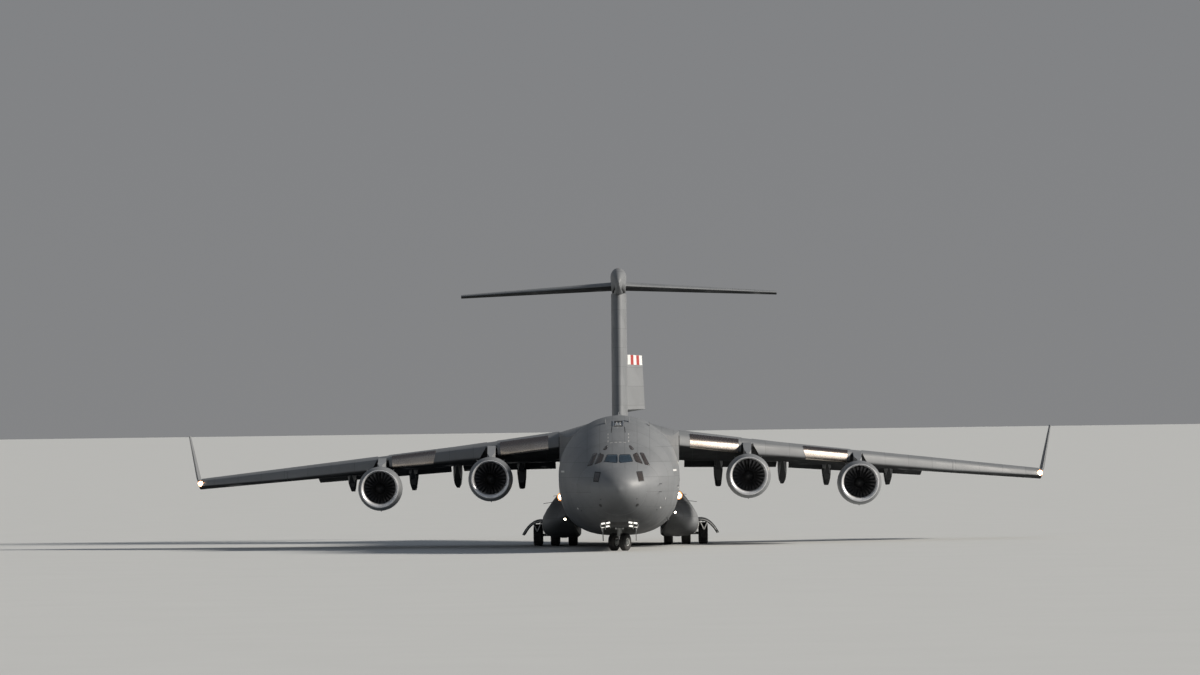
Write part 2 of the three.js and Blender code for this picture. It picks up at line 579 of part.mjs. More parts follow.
function trackFairing([lateral, start, tail, depth]) {
  const row = sectionAt(WING_SECTIONS, lateral);
  const chord = row[3];
  const unit = (x, drop) => {
    const p = chordPoint(row, x);
    return [p.y / M + LENGTH / 2, p.z / M - drop];
  };
  const top = row[4] * chord * 0.25;
  const end = 1 + tail / chord;
  const outline = [
    unit(start, top), unit(start + 0.1, depth * 0.72), unit(0.68, depth), unit(0.85, depth * 0.98),
    unit(end, depth * 0.62), unit(end, depth * 0.5), unit(0.97, 0.02), unit(0.8, 0),
  ];
  const blade = sidePrism(outline, lateral - TRACK_HALF_WIDTH, lateral + TRACK_HALF_WIDTH);
  const front = outline[0][0];
  const back = outline[4][0];
  const mirrored = (rows) => [
    ...rows.map(([w, v]) => [lateral + w * TRACK_HALF_WIDTH, v]),
    ...[...rows].reverse().map(([w, v]) => [lateral - w * TRACK_HALF_WIDTH, v]),
  ];
  const taper = planPrism(mirrored([[0.02, front], [1, front + 1.1], [1, back - 1.6], [0.12, back]]), 0, 8);
  const keel = Math.min(...outline.map((p) => p[1]));
  const section = frontPrism(mirrored(TRACK_KEEL.map(([w, up]) => [w, keel + up])), front - 1, back + 1);
  return blade.intersect(taper).intersect(section);
}

function wing() {
  let fixed = wingSolid(WING_SECTIONS);
  const whole = fixed;
  const places = {};
  for (const flap of FLAPS) {
    const a = sectionAt(WING_SECTIONS, flap.from);
    const b = sectionAt(WING_SECTIONS, flap.to);
    const [pa, pb] = [chordPoint(a, flap.front), chordPoint(b, flap.front)];
    const station = (p) => p.y / M + LENGTH / 2;
    const slope = (station(pb) - station(pa)) / (flap.to - flap.from);
    const edge = (lateral) => station(pa) + (lateral - flap.from) * slope;
    const cut = (inset, inner, outer) => {
      const [from, to] = [flap.from - inner, flap.to + outer];
      return planPrism([[from, edge(from) - inset], [to, edge(to) - inset], [to, 36], [from, 36]], 2, 8);
    };
    fixed = fixed.subtract(cut(MOVING_GAP, flap.innerGap, FLAP_OUTER_GAP));
    const pivotUnder = (p) => [station(p) - FLAP_PIVOT_AHEAD, p.z / M - flap.pivotBelow];
    flap.pivot = { a: at(flap.from, ...pivotUnder(pa)), b: at(flap.to, ...pivotUnder(pb)) };
    flap.moving = whole.intersect(cut(0, 0, 0));
    const [from, to] = [flap.from - 1, flap.to + 1];
    flap.ahead = planPrism([[from, edge(from)], [to, edge(to)], [to, 10], [from, 10]], 2, 8);
    places[flap.name] = flap.pivot;
  }
  const grown = wingSolid(WING_SECTIONS, MOVING_GAP * 1.2);
  // Flap track fairings: the part ahead of the pivot is the wing's, the part behind it hangs on the flap
  for (const row of TRACK_FAIRINGS) {
    const fairing = trackFairing(row);
    const flap = FLAPS.find((f) => row[0] > f.from && row[0] < f.to);
    if (!flap) {
      fixed = fixed.add(fairing);
      continue;
    }
    const t = (row[0] - flap.from) / (flap.to - flap.from);
    const pivot = new THREE.Vector3().lerpVectors(flap.pivot.a, flap.pivot.b, t);
    const station = pivot.y / M + LENGTH / 2;
    const behind = (gap) => block([row[0] - 1, station - gap, 0], [row[0] + 1, 40, 8]);
    const axis = new THREE.Vector3().subVectors(flap.pivot.b, flap.pivot.a).normalize();
    const reach = row[3] - flap.pivotBelow + 0.12;
    const [inner, outer] = [-0.6, 0.6].map((d) => pivot.clone().addScaledVector(axis, d * M));
    const sweep = bar(inner, outer, reach, reach, 14).intersect(block([0, 10, 0], [30, 40, pivot.z / M]));
    const nose = (gap) => bar(inner, outer, 0.13 + gap);
    const hinge = knuckle({
      point: pivot, axis, width: 0.2, eye: 0.12, pin: 0.05,
      foot: new THREE.Vector3(pivot.x, pivot.y - 0.25 * M, pivot.z + 0.1 * M),
    });
    const slot = 0.06 + 3 * MOVING_GAP;
    const depth = 0.15 + MOVING_GAP;
    const notch = block([row[0] - slot, 20, pivot.z / M - depth], [row[0] + slot, station + depth, 8]);
    const tail = fairing.intersect(behind(0).add(nose(0)))
      .subtract(grown.intersect(flap.ahead))
      .subtract(notch);
    flap.moving = flap.moving.add(tail).add(hinge.pin);
    fixed = fixed.add(fairing.subtract(behind(MOVING_GAP)).subtract(sweep).subtract(nose(MOVING_GAP)))
      .add(hinge.lug.intersect(block([row[0] - 0.06, 20, 2], [row[0] + 0.06, 36, 8])));
  }
  const a = sectionAt(WING_SECTIONS, AILERON.from);
  const b = sectionAt(WING_SECTIONS, AILERON.to);
  const radius = (row) => row[3] * row[4] * halfThickness(AILERON.front);
  const [pa, pb] = [chordPoint(a, AILERON.front), chordPoint(b, AILERON.front)];
  const slab = (side) => block([AILERON.from + side, 20, 2], [AILERON.to - side, 36, 8]);
  const split = hinged(fixed, {
    a: pa,
    b: pb,
    radii: [radius(a), radius(b)],
    slab: slab(-SURFACE_END_GAP),
    slabInner: slab(0),
    aftOf: behindLine(AILERON, pa, pb, 36, [2, 8]),
  });
  pair("wing", split.fixed, GREY);
  pair("aileron", split.moving, GREY);
  for (const flap of FLAPS) {
    const { a: inner, b: outer } = flap.pivot;
    for (const mesh of pair(flap.name, flap.moving, GREY)) turnAbout(mesh, inner, outer, -FLAP_REST);
  }
  return { aileron: { a: pa, b: pb }, ...places };
}

// Winglet, standing on the wing tip and leaning outwards
function winglet() {
  const tip = WING_SECTIONS[2];
  // columns: lateral, leading edge's station, height, chord
  const rows = [
    [HALF_SPAN + FACE_GAP, tip[1] + 0.5, 3.88, 3.2],
    [HALF_SPAN + 0.1, tip[1] + 0.85, 4.2, 2.75],
    [WINGLET_REACH - 0.02, tip[1] + 2.85, 6.72, 1.25],
  ];
  const rings = rows.map(([lateral, station, height, chord], k) => {
    const width = 0.085;
    return airfoil(width, 0, chord).map(([x, z]) => {
      const across = z * chord;
      return k === 0
        ? at(lateral, station + x * chord, height + across * 1.1 - 0.1 * x * chord)
        : at(lateral - across, station + x * chord, height + across * 0.25 - 0.02 * x * chord);
    });
  });
  const outboard = block([HALF_SPAN + FACE_GAP, 28, 3], [27, 37, 8]);
  pair("winglet", loft(rings, [1, 2]).intersect(outboard), GREY);
}

// Engines
// columns: name, lateral, inlet's station, height of the centre
const ENGINES = [
  { name: "inboard", lateral: 7.44, inlet: 15.2, height: 4.02 },
  { name: "outboard", lateral: 13.95, inlet: 18.65, height: 3.52 },
];
const COWL = [[0.0, 1.07], [0.12, 1.18], [0.6, 1.255], [1.8, 1.275], [3.2, 1.16], [4.15, 0.98]];
const DUCT = [[4.15, 0.94], [2.6, 1.04], [0.95, 1.0], [0.35, 0.925], [0.05, 0.99]];
const CORE = [
  [1.35, 0], [1.35, 0.42], [1.8, 0.52], [2.8, 0.7], [4.15, 0.62],
  [5.0, 0.46], [5.05, 0.3], [5.75, 0.04], [5.75, 0],
];
const FAN = { front: 0.5, hubBack: 1.25, radius: 0.93, blades: 8, plane: 1.02, shaft: 0.12, shaftBack: 1.6 };
const COWL_SIDES = 16;
const CORE_SIDES = 12;
const VANES = 4;

function nacelleSolid() {
  const cowl = turned([...COWL, ...DUCT, COWL[0]], COWL_SIDES);
  const bore = turned([[1.3, 0], [1.3, FAN.shaft + 0.003], [1.62, FAN.shaft + 0.003], [1.62, 0]], 16);
  const body = turned(CORE, CORE_SIDES).subtract(bore);
  const vane = new THREE.BoxGeometry(0.05 * M, 0.42 * M, 0.62 * M).translate(0, 1.85 * M, 0.76 * M);
  let nacelle = cowl.add(body);
  for (let k = 0; k < VANES; k++) {
    const turn = new THREE.Matrix4().makeRotationY((2 * Math.PI * (k + 0.5)) / VANES);
    nacelle = nacelle.add(solid(vane.clone().applyMatrix4(turn)));
  }
  return nacelle;
}

function fanSolid() {
  const { front, hubBack, shaft, shaftBack } = FAN;
  const hub = [
    [front, 0], [0.56, 0.1], [0.75, 0.24], [1.0, 0.34], [hubBack, 0.36], [hubBack, shaft], [shaftBack, shaft],
    [shaftBack, 0],
  ];
  let fan = turned(hub, 12);
  const span = FAN.radius - 0.28;
  for (let k = 0; k < FAN.blades; k++) {
    const blade = new THREE.BoxGeometry(0.26 * M, 0.035 * M, span * M)
      .applyMatrix4(new THREE.Matrix4().makeRotationZ(THREE.MathUtils.degToRad(38)))
      .translate(0, FAN.plane * M, (0.28 + span / 2) * M)
      .rotateY((2 * Math.PI * k) / FAN.blades);
    fan = fan.add(solid(blade));
  }
  return fan;
}

// Pylon: a thin fin from the top of the cowl, over the leading edge and back under the wing
function pylonSolid({ lateral, inlet, height }) {
  const row = sectionAt(WING_SECTIONS, lateral);
  const [, station, edge, chord, thickness, incidence] = row;
  const fall = Math.sin(THREE.MathUtils.degToRad(incidence));
  const under = (x) => edge - chord * (x * fall + thickness * halfThickness(x)) + 0.25;
  const outline = [
    [inlet + 1.5, height + 1.2], [inlet + 2.2, height + 1.42],
    [station - 0.75, edge - 0.06], [station - 0.1, edge + 0.16], [station + 0.7, edge + 0.1],
    [station + 0.35 * chord, under(0.35)], [station + 0.47 * chord, under(0.47) - 0.15],
    [station + 0.35 * chord, under(0.35) - 0.75],
    [inlet + 5.3, height + 0.75], [inlet + 4.3, height + 0.62],
    [inlet + 3.4, height + 0.62], [inlet + 3.4, height + 0.9],
  ];
  const plan = [
    [0.03, inlet + 1.5], [0.2, inlet + 2.6], [0.24, station + 0.1], [0.2, station + 0.25 * chord],
    [0.04, station + 0.47 * chord],
  ];
  const one = plan.map(([w, s]) => [lateral + w, s]);
  const other = plan.map(([w, s]) => [lateral - w, s]).reverse();
  const widths = planPrism([...one, ...other], 0, 9);
  const centre = at(lateral, inlet, height);
  const [cowlEnd, cowlEndRadius] = COWL[COWL.length - 1];
  const cowlBack = cowlEnd + FACE_GAP;
  const cowlBlank = turned([
    [COWL[0][0], 0], ...COWL.slice(1).map(([s, r]) => [s, r + FACE_GAP]),
    [cowlBack, cowlEndRadius], [cowlBack, 0],
  ], COWL_SIDES);
  const coreWall = CORE.slice(1, -1).map(([s, r]) => [s + (s > cowlBack ? 0.001 : 0), r + FACE_GAP * 2]);
  const coreBlank = turned([[1.3, 0], ...coreWall, [5.76, 0]], CORE_SIDES);
  const grown = wingSolid(WING_SECTIONS, FACE_GAP * 1.5);
  return sidePrism(outline, lateral - 0.4, lateral + 0.4)
    .intersect(widths)
    .subtract(cowlBlank.translate([centre.x, centre.y, centre.z]))
    .subtract(coreBlank.translate([centre.x, centre.y, centre.z]))
    .subtract(grown);
}

function engines() {
  const nacelle = geometryOf(nacelleSolid());
  const fan = geometryOf(fanSolid());
  for (const engine of ENGINES) {
    const centre = at(engine.lateral, engine.inlet, engine.height);
    for (const [side, group] of [["left", leftSide], ["right", rightSide]]) {
      for (const [kind, geometry, material] of [["nacelle", nacelle, GREY], ["fan", fan, BARE_METAL]]) {
        const mesh = new THREE.Mesh(geometry, material);
        mesh.name = `${kind}_${engine.name}_${side}`;
        mesh.position.copy(centre);
        group.add(mesh);
      }
    }
    pair(`pylon_${engine.name}`, pylonSolid(engine), GREY);
  }
}

// Tail
// The fin's sections lie flat; columns: height, leading edge's station, chord, thickness share
const FIN_SECTIONS = [
  [6.9, 36.3, 8.6, 0.11],
  [15.2, 43.75, 6.75, 0.137],
];
const RUDDERS = [
  { name: "rudder_lower", from: 7.86, to: 11.3, foot: 0.07, deflected: -42 },
  { name: "rudder_upper", from: 11.56, to: 14.95, foot: 0, deflected: 0 },
];
const RUDDER_FRONT = 0.66;
const RUDDER_END_GAP = 0.16;
const RUDDER_HOLLOW_GAP = 2 * MOVING_GAP;
// A rudder's top falls this much per metre aft, as the leaning hinge lifts a turned rudder's rear corner.
// Its foot falls by the value given above, to follow the crown.
const RUDDER_TOP_FALL = 0.1;
// The tailplane's rows: lateral, leading edge's station and height, chord, thickness share, incidence
const TAILPLANE_SECTIONS = [
  [-0.05, 44.72, 15.68, 5.5, 0.1, 0],
  [TAIL_HALF_SPAN, 50.44, 15.24, 2.6, 0.09, 0],
];
const ELEVATOR = { from: 0.7, to: 9.55, front: 0.7 };
// columns: station, half width, top, bottom of the bullet fairing on the fin's top
const BULLET = [
  [42.4, 0.05, 15.85, 15.75],
  [42.9, 0.28, 16.2, 15.42],
  [43.8, 0.44, 16.55, 15.2 + FACE_GAP],
  [45.6, 0.48, TOTAL_HEIGHT, 15.2 + FACE_GAP],
  [48.6, 0.46, 16.7, 15.2 + FACE_GAP],
  [50.3, 0.36, 16.4, 15.25],
  [51.6, 0.18, 16.05, 15.5],
  [52.4, 0.04, 15.8, 15.7],
];

function finSection(height) {
  const t = (height - FIN_SECTIONS[0][0]) / (FIN_SECTIONS[1][0] - FIN_SECTIONS[0][0]);
  return FIN_SECTIONS[0].map((value, c) => value + t * (FIN_SECTIONS[1][c] - value));
}
const finRing = (height) => {
  const [, station, chord, thickness] = finSection(height);
  return airfoil(thickness, 0, chord).map(([x, z]) => at(z * chord, station + x * chord, height));
};

function fin() {
  const whole = loft(FIN_SECTIONS.map(([height]) => finRing(height)), [0, 1]);
  let fixed = whole;
  const places = {};
  for (const [k, rudder] of RUDDERS.entries()) {
    const [low, high] = [finSection(rudder.from), finSection(rudder.to)];
    const hinge = (row) => at(0, row[1] + RUDDER_FRONT * row[2], row[0]);
    const radius = (row) => row[2] * row[3] * halfThickness(RUDDER_FRONT);
    const [a, b] = [hinge(low), hinge(high)];
    const line = (p) => p.y / M + LENGTH / 2;
    const slope = (line(b) - line(a)) / (rudder.to - rudder.from);
    const [under, over] = [rudder.from - 1, rudder.to + 1];
    const behind = [[line(a) - slope, under], [line(b) + slope, over], [56, over], [56, under]];
    const slab = (grow, fall) => {
      const [foot, top] = [rudder.from - grow, rudder.to + grow];
      return sidePrism([
        [30, foot], [line(a), foot], [60, foot - rudder.foot * (60 - line(a))],
        [60, top - fall * (60 - line(b))], [line(b), top], [30, top],
      ], -2, 2);
    };
    const split = hinged(fixed, {
      a,
      b,
      radii: [radius(low), radius(high)],
      slab: slab(RUDDER_END_GAP, 0),
      slabInner: slab(0, RUDDER_TOP_FALL),
      aftOf: sidePrism(behind, -2, 2),
      pinned: [k === 0, k === 1],
      clear: RUDDER_HOLLOW_GAP,
    });
    fixed = split.fixed;
    places[rudder.name] = { a, b };
    turnAbout(piece(rudder.name, split.moving, GREY), a, b, rudder.deflected);
  }
  piece("fin", fixed.subtract(hullBlank), GREY);
  return places;
}

function tailplane() {
  const half = wingSolid(TAILPLANE_SECTIONS);
  const from = sectionAt(TAILPLANE_SECTIONS, ELEVATOR.from);
  const to = sectionAt(TAILPLANE_SECTIONS, ELEVATOR.to);
  const [a, b] = [chordPoint(from, ELEVATOR.front), chordPoint(to, ELEVATOR.front)];
  const radius = (row) => row[3] * row[4] * halfThickness(ELEVATOR.front);
  const slab = (grow) => block([ELEVATOR.from - grow, 40, 14], [ELEVATOR.to + grow, 56, 17]);
  const split = hinged(half, {
    a,
    b,
    radii: [radius(from), radius(to)],
    slab: slab(SURFACE_END_GAP),
    slabInner: slab(0),
    aftOf: behindLine(ELEVATOR, a, b, 56, [14, 17]),
  });
  pair("elevator", split.moving, GREY);
  const bullet = loft(
    BULLET.map(([s, halfWidth, top, bottom]) => {
      const ring = [];
      for (let k = 0; k < 16; k++) {
        const angle = (2 * Math.PI * (k + 0.5)) / 16;
        const [c, up] = [Math.cos(angle), Math.sin(angle)];
        const wide = up > 0 ? c : Math.sign(c) * Math.abs(c) ** 0.4;
        const high = up > 0 ? up : Math.max(1.4 * up, -1);
        ring.push(at(wide * halfWidth, s, (top + bottom) / 2 + (high * (top - bottom)) / 2));
      }
      return ring;
    }),
    [0, 2],
  );
  const other = split.fixed.mirror([1, 0, 0]);
  piece("tailplane", split.fixed.add(other).add(bullet), GREY);
  return { elevator: { a, b } };
}

// Landing gear
const WHEEL_SIDES = 16; // a flat lies at the bottom, so the axle's height is a little less than the radius
const axleHeight = (radius) => radius * Math.cos(Math.PI / WHEEL_SIDES);
const MAIN_WHEEL = { radius: 0.635, width: 0.53, rim: 0.27, height: axleHeight(0.635) };
const NOSE_WHEEL = { radius: 0.5, width: 0.38, rim: 0.2, height: axleHeight(0.5) };
const MAIN_LATERALS = [2.81, 3.85, 4.86];
const MAIN_AXLE_ENDS = [2.6, 5.06];
const MAIN_POSTS = { front: 24.05, rear: 26.75 };
const POST_LATERAL = 3.33;
const MAIN_AXLE = 0.06;
const BRACE = [0.055, 0.055, 10]; // radii and sides of the legs' drag braces
const STEERING_PIN = 0.06;
const NOSE = { station: 5.34, trackHalf: 0.34, axle: 0.05, steered: -25 };
const BAY = { front: 23.2, back: 27.6, inner: 2.42, roof: 1.55 };

// A wheel about the lateral axis, centred on its own origin
function wheelSolid({ radius, width, rim }) {
  const w = width / 2;
  const profile = [
    [-w + 0.1, 0], [-w + 0.1, rim], [-w, rim + 0.06], [-w * 0.6, radius],
    [w * 0.6, radius], [w, rim + 0.06], [w - 0.1, rim], [w - 0.1, 0],
  ];
  return turned(profile, WHEEL_SIDES).rotate([0, 180 / WHEEL_SIDES, 0]).rotate([0, 0, -90]);
}

function wheelSet(wheel, laterals, axle, ends) {
  const rod = new THREE.CylinderGeometry(axle * M, axle * M, (ends[1] - ends[0]) * M, pinSides(axle));
  let set = solid(rod.rotateZ(Math.PI / 2)).translate([((ends[0] + ends[1]) / 2) * M, 0, 0]);
  for (const lateral of laterals) set = set.add(wheelSolid(wheel).translate([lateral * M, 0, 0]));
  return set;
}

// columns: lateral, height of the sponson's full section, from the inner foot round the outside to the top
const SPONSON_FULL = [
  [2.35, 1.7], [2.35, 0.62], [2.5, 0.5], [3.95, 0.5], [4.3, 0.66], [4.52, 0.95], [4.6, 1.35],
  [4.52, 1.75], [4.3, 2.15], [3.95, 2.65], [3.65, 3.02], [3.25, 3.3],
];
// columns: station, share of the full section; the rest is drawn in towards the fuselage's side
const SPONSON_STATIONS = [
  [18.5, 0.1], [18.9, 0.42], [19.7, 0.72], [21.0, 0.93], [22.6, 1.0],
  [28.3, 1.0], [29.8, 0.86], [31.2, 0.55], [32.4, 0.18],
];
const SPONSON_END = [3.02, 1.95];

const MAIN_DOOR_OUTER = [[4.47, 1.52], [4.8, 1.53], [5.08, 1.46], [5.36, 1.28], [5.6, 1.0], [5.79, 0.68]];
const MAIN_DOOR_INNER = [[5.71, 0.65], [5.52, 0.95], [5.3, 1.2], [5.04, 1.37], [4.8, 1.44], [4.47, 1.44]];

function sponson() {
  const [endLateral, endHeight] = SPONSON_END;
  const rings = SPONSON_STATIONS.map(([station, share]) =>
    SPONSON_FULL.map(([x, z]) =>
      at(endLateral + (x - endLateral) * share, station, endHeight + (z - endHeight) * share)),
  );
  const body = loft(rings, [0, 2]).subtract(hullBlank);
  const bay = block([BAY.inner, BAY.front, 0], [6, BAY.back, BAY.roof]);
  pair("sponson", body.subtract(bay), GREY);

  const doorOutline = [...MAIN_DOOR_OUTER, ...MAIN_DOOR_INNER];
  const tubeHeight = BAY.roof - 0.05 - FACE_GAP;
  let doors = bar(at(4.47, BAY.front + 0.1, tubeHeight), at(4.47, BAY.back - 0.1, tubeHeight), 0.05);
  for (const [front, back] of [[23.3, 25.3], [25.5, 27.5]]) {
    doors = doors.add(frontPrism(doorOutline, front, back));
    for (const station of [front + 0.25, back - 0.3]) {
      doors = doors.add(frontPrism([[4.6, 1.46], [5.1, 1.4], [4.84, 1.32]], station, station + 0.05));
    }
  }
  pair("main_gear_doors", doors.subtract(block([4, 22, BAY.roof - FACE_GAP], [6, 29, 2])), GREY);
}

function mainGear() {
  const fromPost = (laterals) => laterals.map((x) => x - POST_LATERAL);
  const wheels = geometryOf(wheelSet(MAIN_WHEEL, fromPost(MAIN_LATERALS), MAIN_AXLE, fromPost(MAIN_AXLE_ENDS)));
  for (const [place, station] of Object.entries(MAIN_POSTS)) {
    const hub = at(POST_LATERAL, station, MAIN_WHEEL.height);
    const top = at(POST_LATERAL, station, BAY.roof - FACE_GAP);
    const across = (half) => [-half, half].map((x) => at(POST_LATERAL + x, station, MAIN_WHEEL.height));
    const braceTop = at(POST_LATERAL, station + 0.62, BAY.roof - 0.12);
    const leg = bar(hub, at(POST_LATERAL, station, 1.0), 0.1)
      .add(bar(at(POST_LATERAL, station, 0.95), top, 0.15))
      .add(bar(...across(0.17), 0.17, 0.17, 12))
      .add(bar(braceTop, at(POST_LATERAL, station + 0.05, 0.98), ...BRACE))
      .add(block(
        [POST_LATERAL - 0.1, station + 0.5, BAY.roof - 0.16],
        [POST_LATERAL + 0.1, station + 0.74, BAY.roof - FACE_GAP],
      ))
      .subtract(holeBar(...across(0.3), MAIN_AXLE));
    pair(`main_gear_leg_${place}`, leg, GEAR_WHITE);
    for (const [side, group] of [["left", leftSide], ["right", rightSide]]) {
      const mesh = new THREE.Mesh(wheels, RUBBER);
      mesh.name = `main_wheels_${place}_${side}`;
      mesh.position.copy(hub);
      group.add(mesh);
    }
  }
}

function noseGear() {
  const { station, trackHalf, axle, steered } = NOSE;
  const collar = 1.15;
  const leg = bar(at(0, station, collar), at(0, station, NOSE_BAY.roof - FACE_GAP), 0.13)
    .add(bar(at(0, station + 0.05, 1.35), at(0, NOSE_BAY.back - FACE_GAP - 0.05, 2.1), 0.06, 0.06, 10))
    .add(block([-0.15, NOSE_BAY.back - 0.14, 2.0], [0.15, NOSE_BAY.back - FACE_GAP, 2.2]))
    .subtract(holeBar(at(0, station, collar - 0.1), at(0, station, collar + 0.25), STEERING_PIN));
  piece("nose_gear_leg", leg, GEAR_WHITE);

  // The steered parts turn together about the leg
  const steeredGroup = new THREE.Group();
  steeredGroup.position.copy(at(0, station, 0));
  steeredGroup.rotation.z = THREE.MathUtils.degToRad(steered);
  aeroplane.add(steeredGroup);
  const own = (x, y, z) => new THREE.Vector3(x * M, y * M, z * M);
  const height = NOSE_WHEEL.height;
  const fork = pinBar(own(0, 0, height), own(0, 0, collar + 0.2), STEERING_PIN)
    .add(bar(own(0, 0, 0.8), own(0, 0, collar - 0.012), 0.15))
    .add(bar(own(-0.13, 0, height), own(0.13, 0, height), 0.12, 0.12, 12))
    .subtract(holeBar(own(-0.3, 0, height), own(0.3, 0, height), axle));
  piece("nose_gear_fork", fork, GEAR_WHITE, steeredGroup);
  const axleHalf = trackHalf + 0.15;
  const twin = wheelSet(NOSE_WHEEL, [-trackHalf, trackHalf], axle, [-axleHalf, axleHalf]);
  const wheels = new THREE.Mesh(geometryOf(twin), RUBBER);
  wheels.name = "nose_wheels";
  wheels.position.copy(own(0, 0, height));
  steeredGroup.add(wheels);

  // Bay doors hang from the sides of the nose gear bay
  const outline = [[NOSE_BAY.front + 0.05, 1.52], [5.2, 1.1], [5.2, 0.55], [NOSE_BAY.front + 0.15, 1.02]];
  const door = sidePrism(outline, NOSE_BAY.halfWidth - 0.05, NOSE_BAY.halfWidth - FACE_GAP);
  pair("nose_gear_door", door, GREY);
}

radome();
noseSection();
glazing();
flightDeck();
centreSection();
cargoFloor();
aftSection();
wingFairing();
export const wingHinges = wing();
winglet();
engines();
export const rudderHinges = fin();
export const elevatorHinge = tailplane();
sponson();
mainGear();
noseGear();

export default aeroplane;
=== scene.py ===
"""The looks of a four-engine military transport aeroplane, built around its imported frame.

Places are given as (lateral, station, height) in metres of the real aeroplane, as in the part's source,
and place() turns them into the half-size frame. The nose points to -Y and the left wing to +X.
"""

import math
from itertools import pairwise

import bmesh
import bpy
from bpy.props import FloatProperty, FloatVectorProperty, IntProperty, PointerProperty
from mathutils import Matrix, Vector


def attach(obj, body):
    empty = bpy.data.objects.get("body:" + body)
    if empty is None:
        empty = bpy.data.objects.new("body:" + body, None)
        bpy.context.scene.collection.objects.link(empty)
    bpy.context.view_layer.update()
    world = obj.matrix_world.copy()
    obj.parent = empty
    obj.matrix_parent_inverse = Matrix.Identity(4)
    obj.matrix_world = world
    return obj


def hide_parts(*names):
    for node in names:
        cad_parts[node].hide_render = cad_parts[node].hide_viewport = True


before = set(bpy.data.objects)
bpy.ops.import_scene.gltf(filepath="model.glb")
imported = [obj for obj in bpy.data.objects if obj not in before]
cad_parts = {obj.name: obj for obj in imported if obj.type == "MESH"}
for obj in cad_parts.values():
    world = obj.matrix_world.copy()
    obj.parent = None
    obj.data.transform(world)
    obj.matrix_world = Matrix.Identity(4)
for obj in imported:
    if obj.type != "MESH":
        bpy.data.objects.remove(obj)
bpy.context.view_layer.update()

bl_info = {
    "name": "Transport aeroplane",
    "version": (1, 0, 0),
    "blender": (4, 5, 0),
    "location": "3D View > Sidebar > Aeroplane",
    "description": "Skins, engines, gear and lights for the packed frame of a transport aeroplane",
    "category": "Object",
}

SCALE = 0.5
LENGTH = 53.04
FACE_GAP = 0.0006  # between two skins that meet
MOVING_GAP = 0.016  # round a door that moves
SIDES = {"left": 1, "right": -1}
LEFT = Vector((1, 0, 0))
AFT = Vector((0, 1, 0))
AHEAD = Vector((0, -1, 0))
UP = Vector((0, 0, 1))
SMOOTH_ANGLE = math.radians(35)
MERGE = 1e-6

# columns: station, half width, top, bottom, height of greatest width, squareness of the lower half
HULL = [
    [0.0, 0.06, 3.56, 3.44, 3.5, 2.0],
    [0.12, 0.52, 3.98, 3.03, 3.51, 2.0],
    [0.45, 1.0, 4.32, 2.56, 3.53, 2.05],
    [1.1, 1.56, 4.68, 2.05, 3.58, 2.1],
    [2.0, 2.1, 5.03, 1.62, 3.68, 2.2],
    [3.0, 2.55, 5.73, 1.3, 3.82, 2.3],
    [4.0, 2.88, 6.37, 1.09, 3.95, 2.4],
    [5.5, 3.2, 7.03, 0.92, 4.08, 2.5],
    [7.5, 3.38, 7.44, 0.83, 4.17, 2.62],
    [10.0, 3.43, 7.6, 0.8, 4.2, 2.7],
    [28.0, 3.43, 7.6, 0.8, 4.2, 2.7],
    [30.0, 3.43, 7.6, 0.83, 4.22, 2.7],
    [33.0, 3.4, 7.6, 1.45, 4.42, 2.8],
    [36.0, 3.3, 7.6, 2.35, 4.75, 2.9],
    [39.0, 2.95, 7.58, 3.28, 5.2, 2.8],
    [42.0, 2.4, 7.5, 4.15, 5.68, 2.6],
    [45.0, 1.62, 7.32, 4.92, 6.05, 2.3],
    [47.5, 0.85, 7.0, 5.55, 6.3, 2.1],
    [48.6, 0.3, 6.68, 6.02, 6.36, 2.0],
]
RADOME_END = 1.1
NOSE_END = 9.0
CENTRE_END = 29.5
TAIL_END = 48.6
SEAM_RING = 0.02  # from a skin's end to an extra ring, which keeps the shading true at the seam

SWEEP = 0.522  # how far the wing's leading edge runs back for each metre outwards
WING_APEX = 16.3  # station where the two leading edges would meet
ROOT = 3.4556
# columns: lateral, leading edge's station and height, chord, thickness share, incidence in degrees
WING = [
    [ROOT, WING_APEX + ROOT * SWEEP, 6.17, 10.71, 0.145, 5.8],
    [9.5, WING_APEX + 9.5 * SWEEP, 5.58, 7.4, 0.13, 5.8],
    [25.15, WING_APEX + 25.15 * SWEEP, 3.94, 3.9, 0.135, 5.8],
]
# columns: height, leading edge's station, chord, thickness share
FIN = [
    [6.9, 36.3, 8.6, 0.11],
    [15.2, 43.75, 6.75, 0.137],
]


def place(lateral, station, height):
    return Vector((lateral * SCALE, (station - LENGTH / 2) * SCALE, height * SCALE))


def between(table, station):
    """Smooth values between the rows of a table whose first column is the station, without overshoot."""
    last = len(table) - 1
    k = 0
    while k < last - 1 and station > table[k + 1][0]:
        k += 1

    def slope(i, c):
        return (table[i + 1][c] - table[i][c]) / (table[i + 1][0] - table[i][0])

    def tangent(i, c):
        if i == 0:
            return slope(0, c)
        if i == last:
            return slope(last - 1, c)
        before, after = slope(i - 1, c), slope(i, c)
        return 0 if before * after <= 0 else 2 * before * after / (before + after)

    h = table[k + 1][0] - table[k][0]
    t = min(1, max(0, (station - table[k][0]) / h))
    row = [station]
    for c in range(1, len(table[k])):
        ends = (2 * t**3 - 3 * t**2 + 1) * table[k][c] + (3 * t**2 - 2 * t**3) * table[k + 1][c]
        bend = (t**3 - 2 * t**2 + t) * tangent(k, c) + (t**3 - t**2) * tangent(k + 1, c)
        row.append(ends + h * bend)
    return row


def spread(start, end, step):
    """Evenly spaced values from start to end, about a step apart."""
    count = max(1, round((end - start) / step))
    return [start + (end - start) * k / count for k in range(count + 1)]


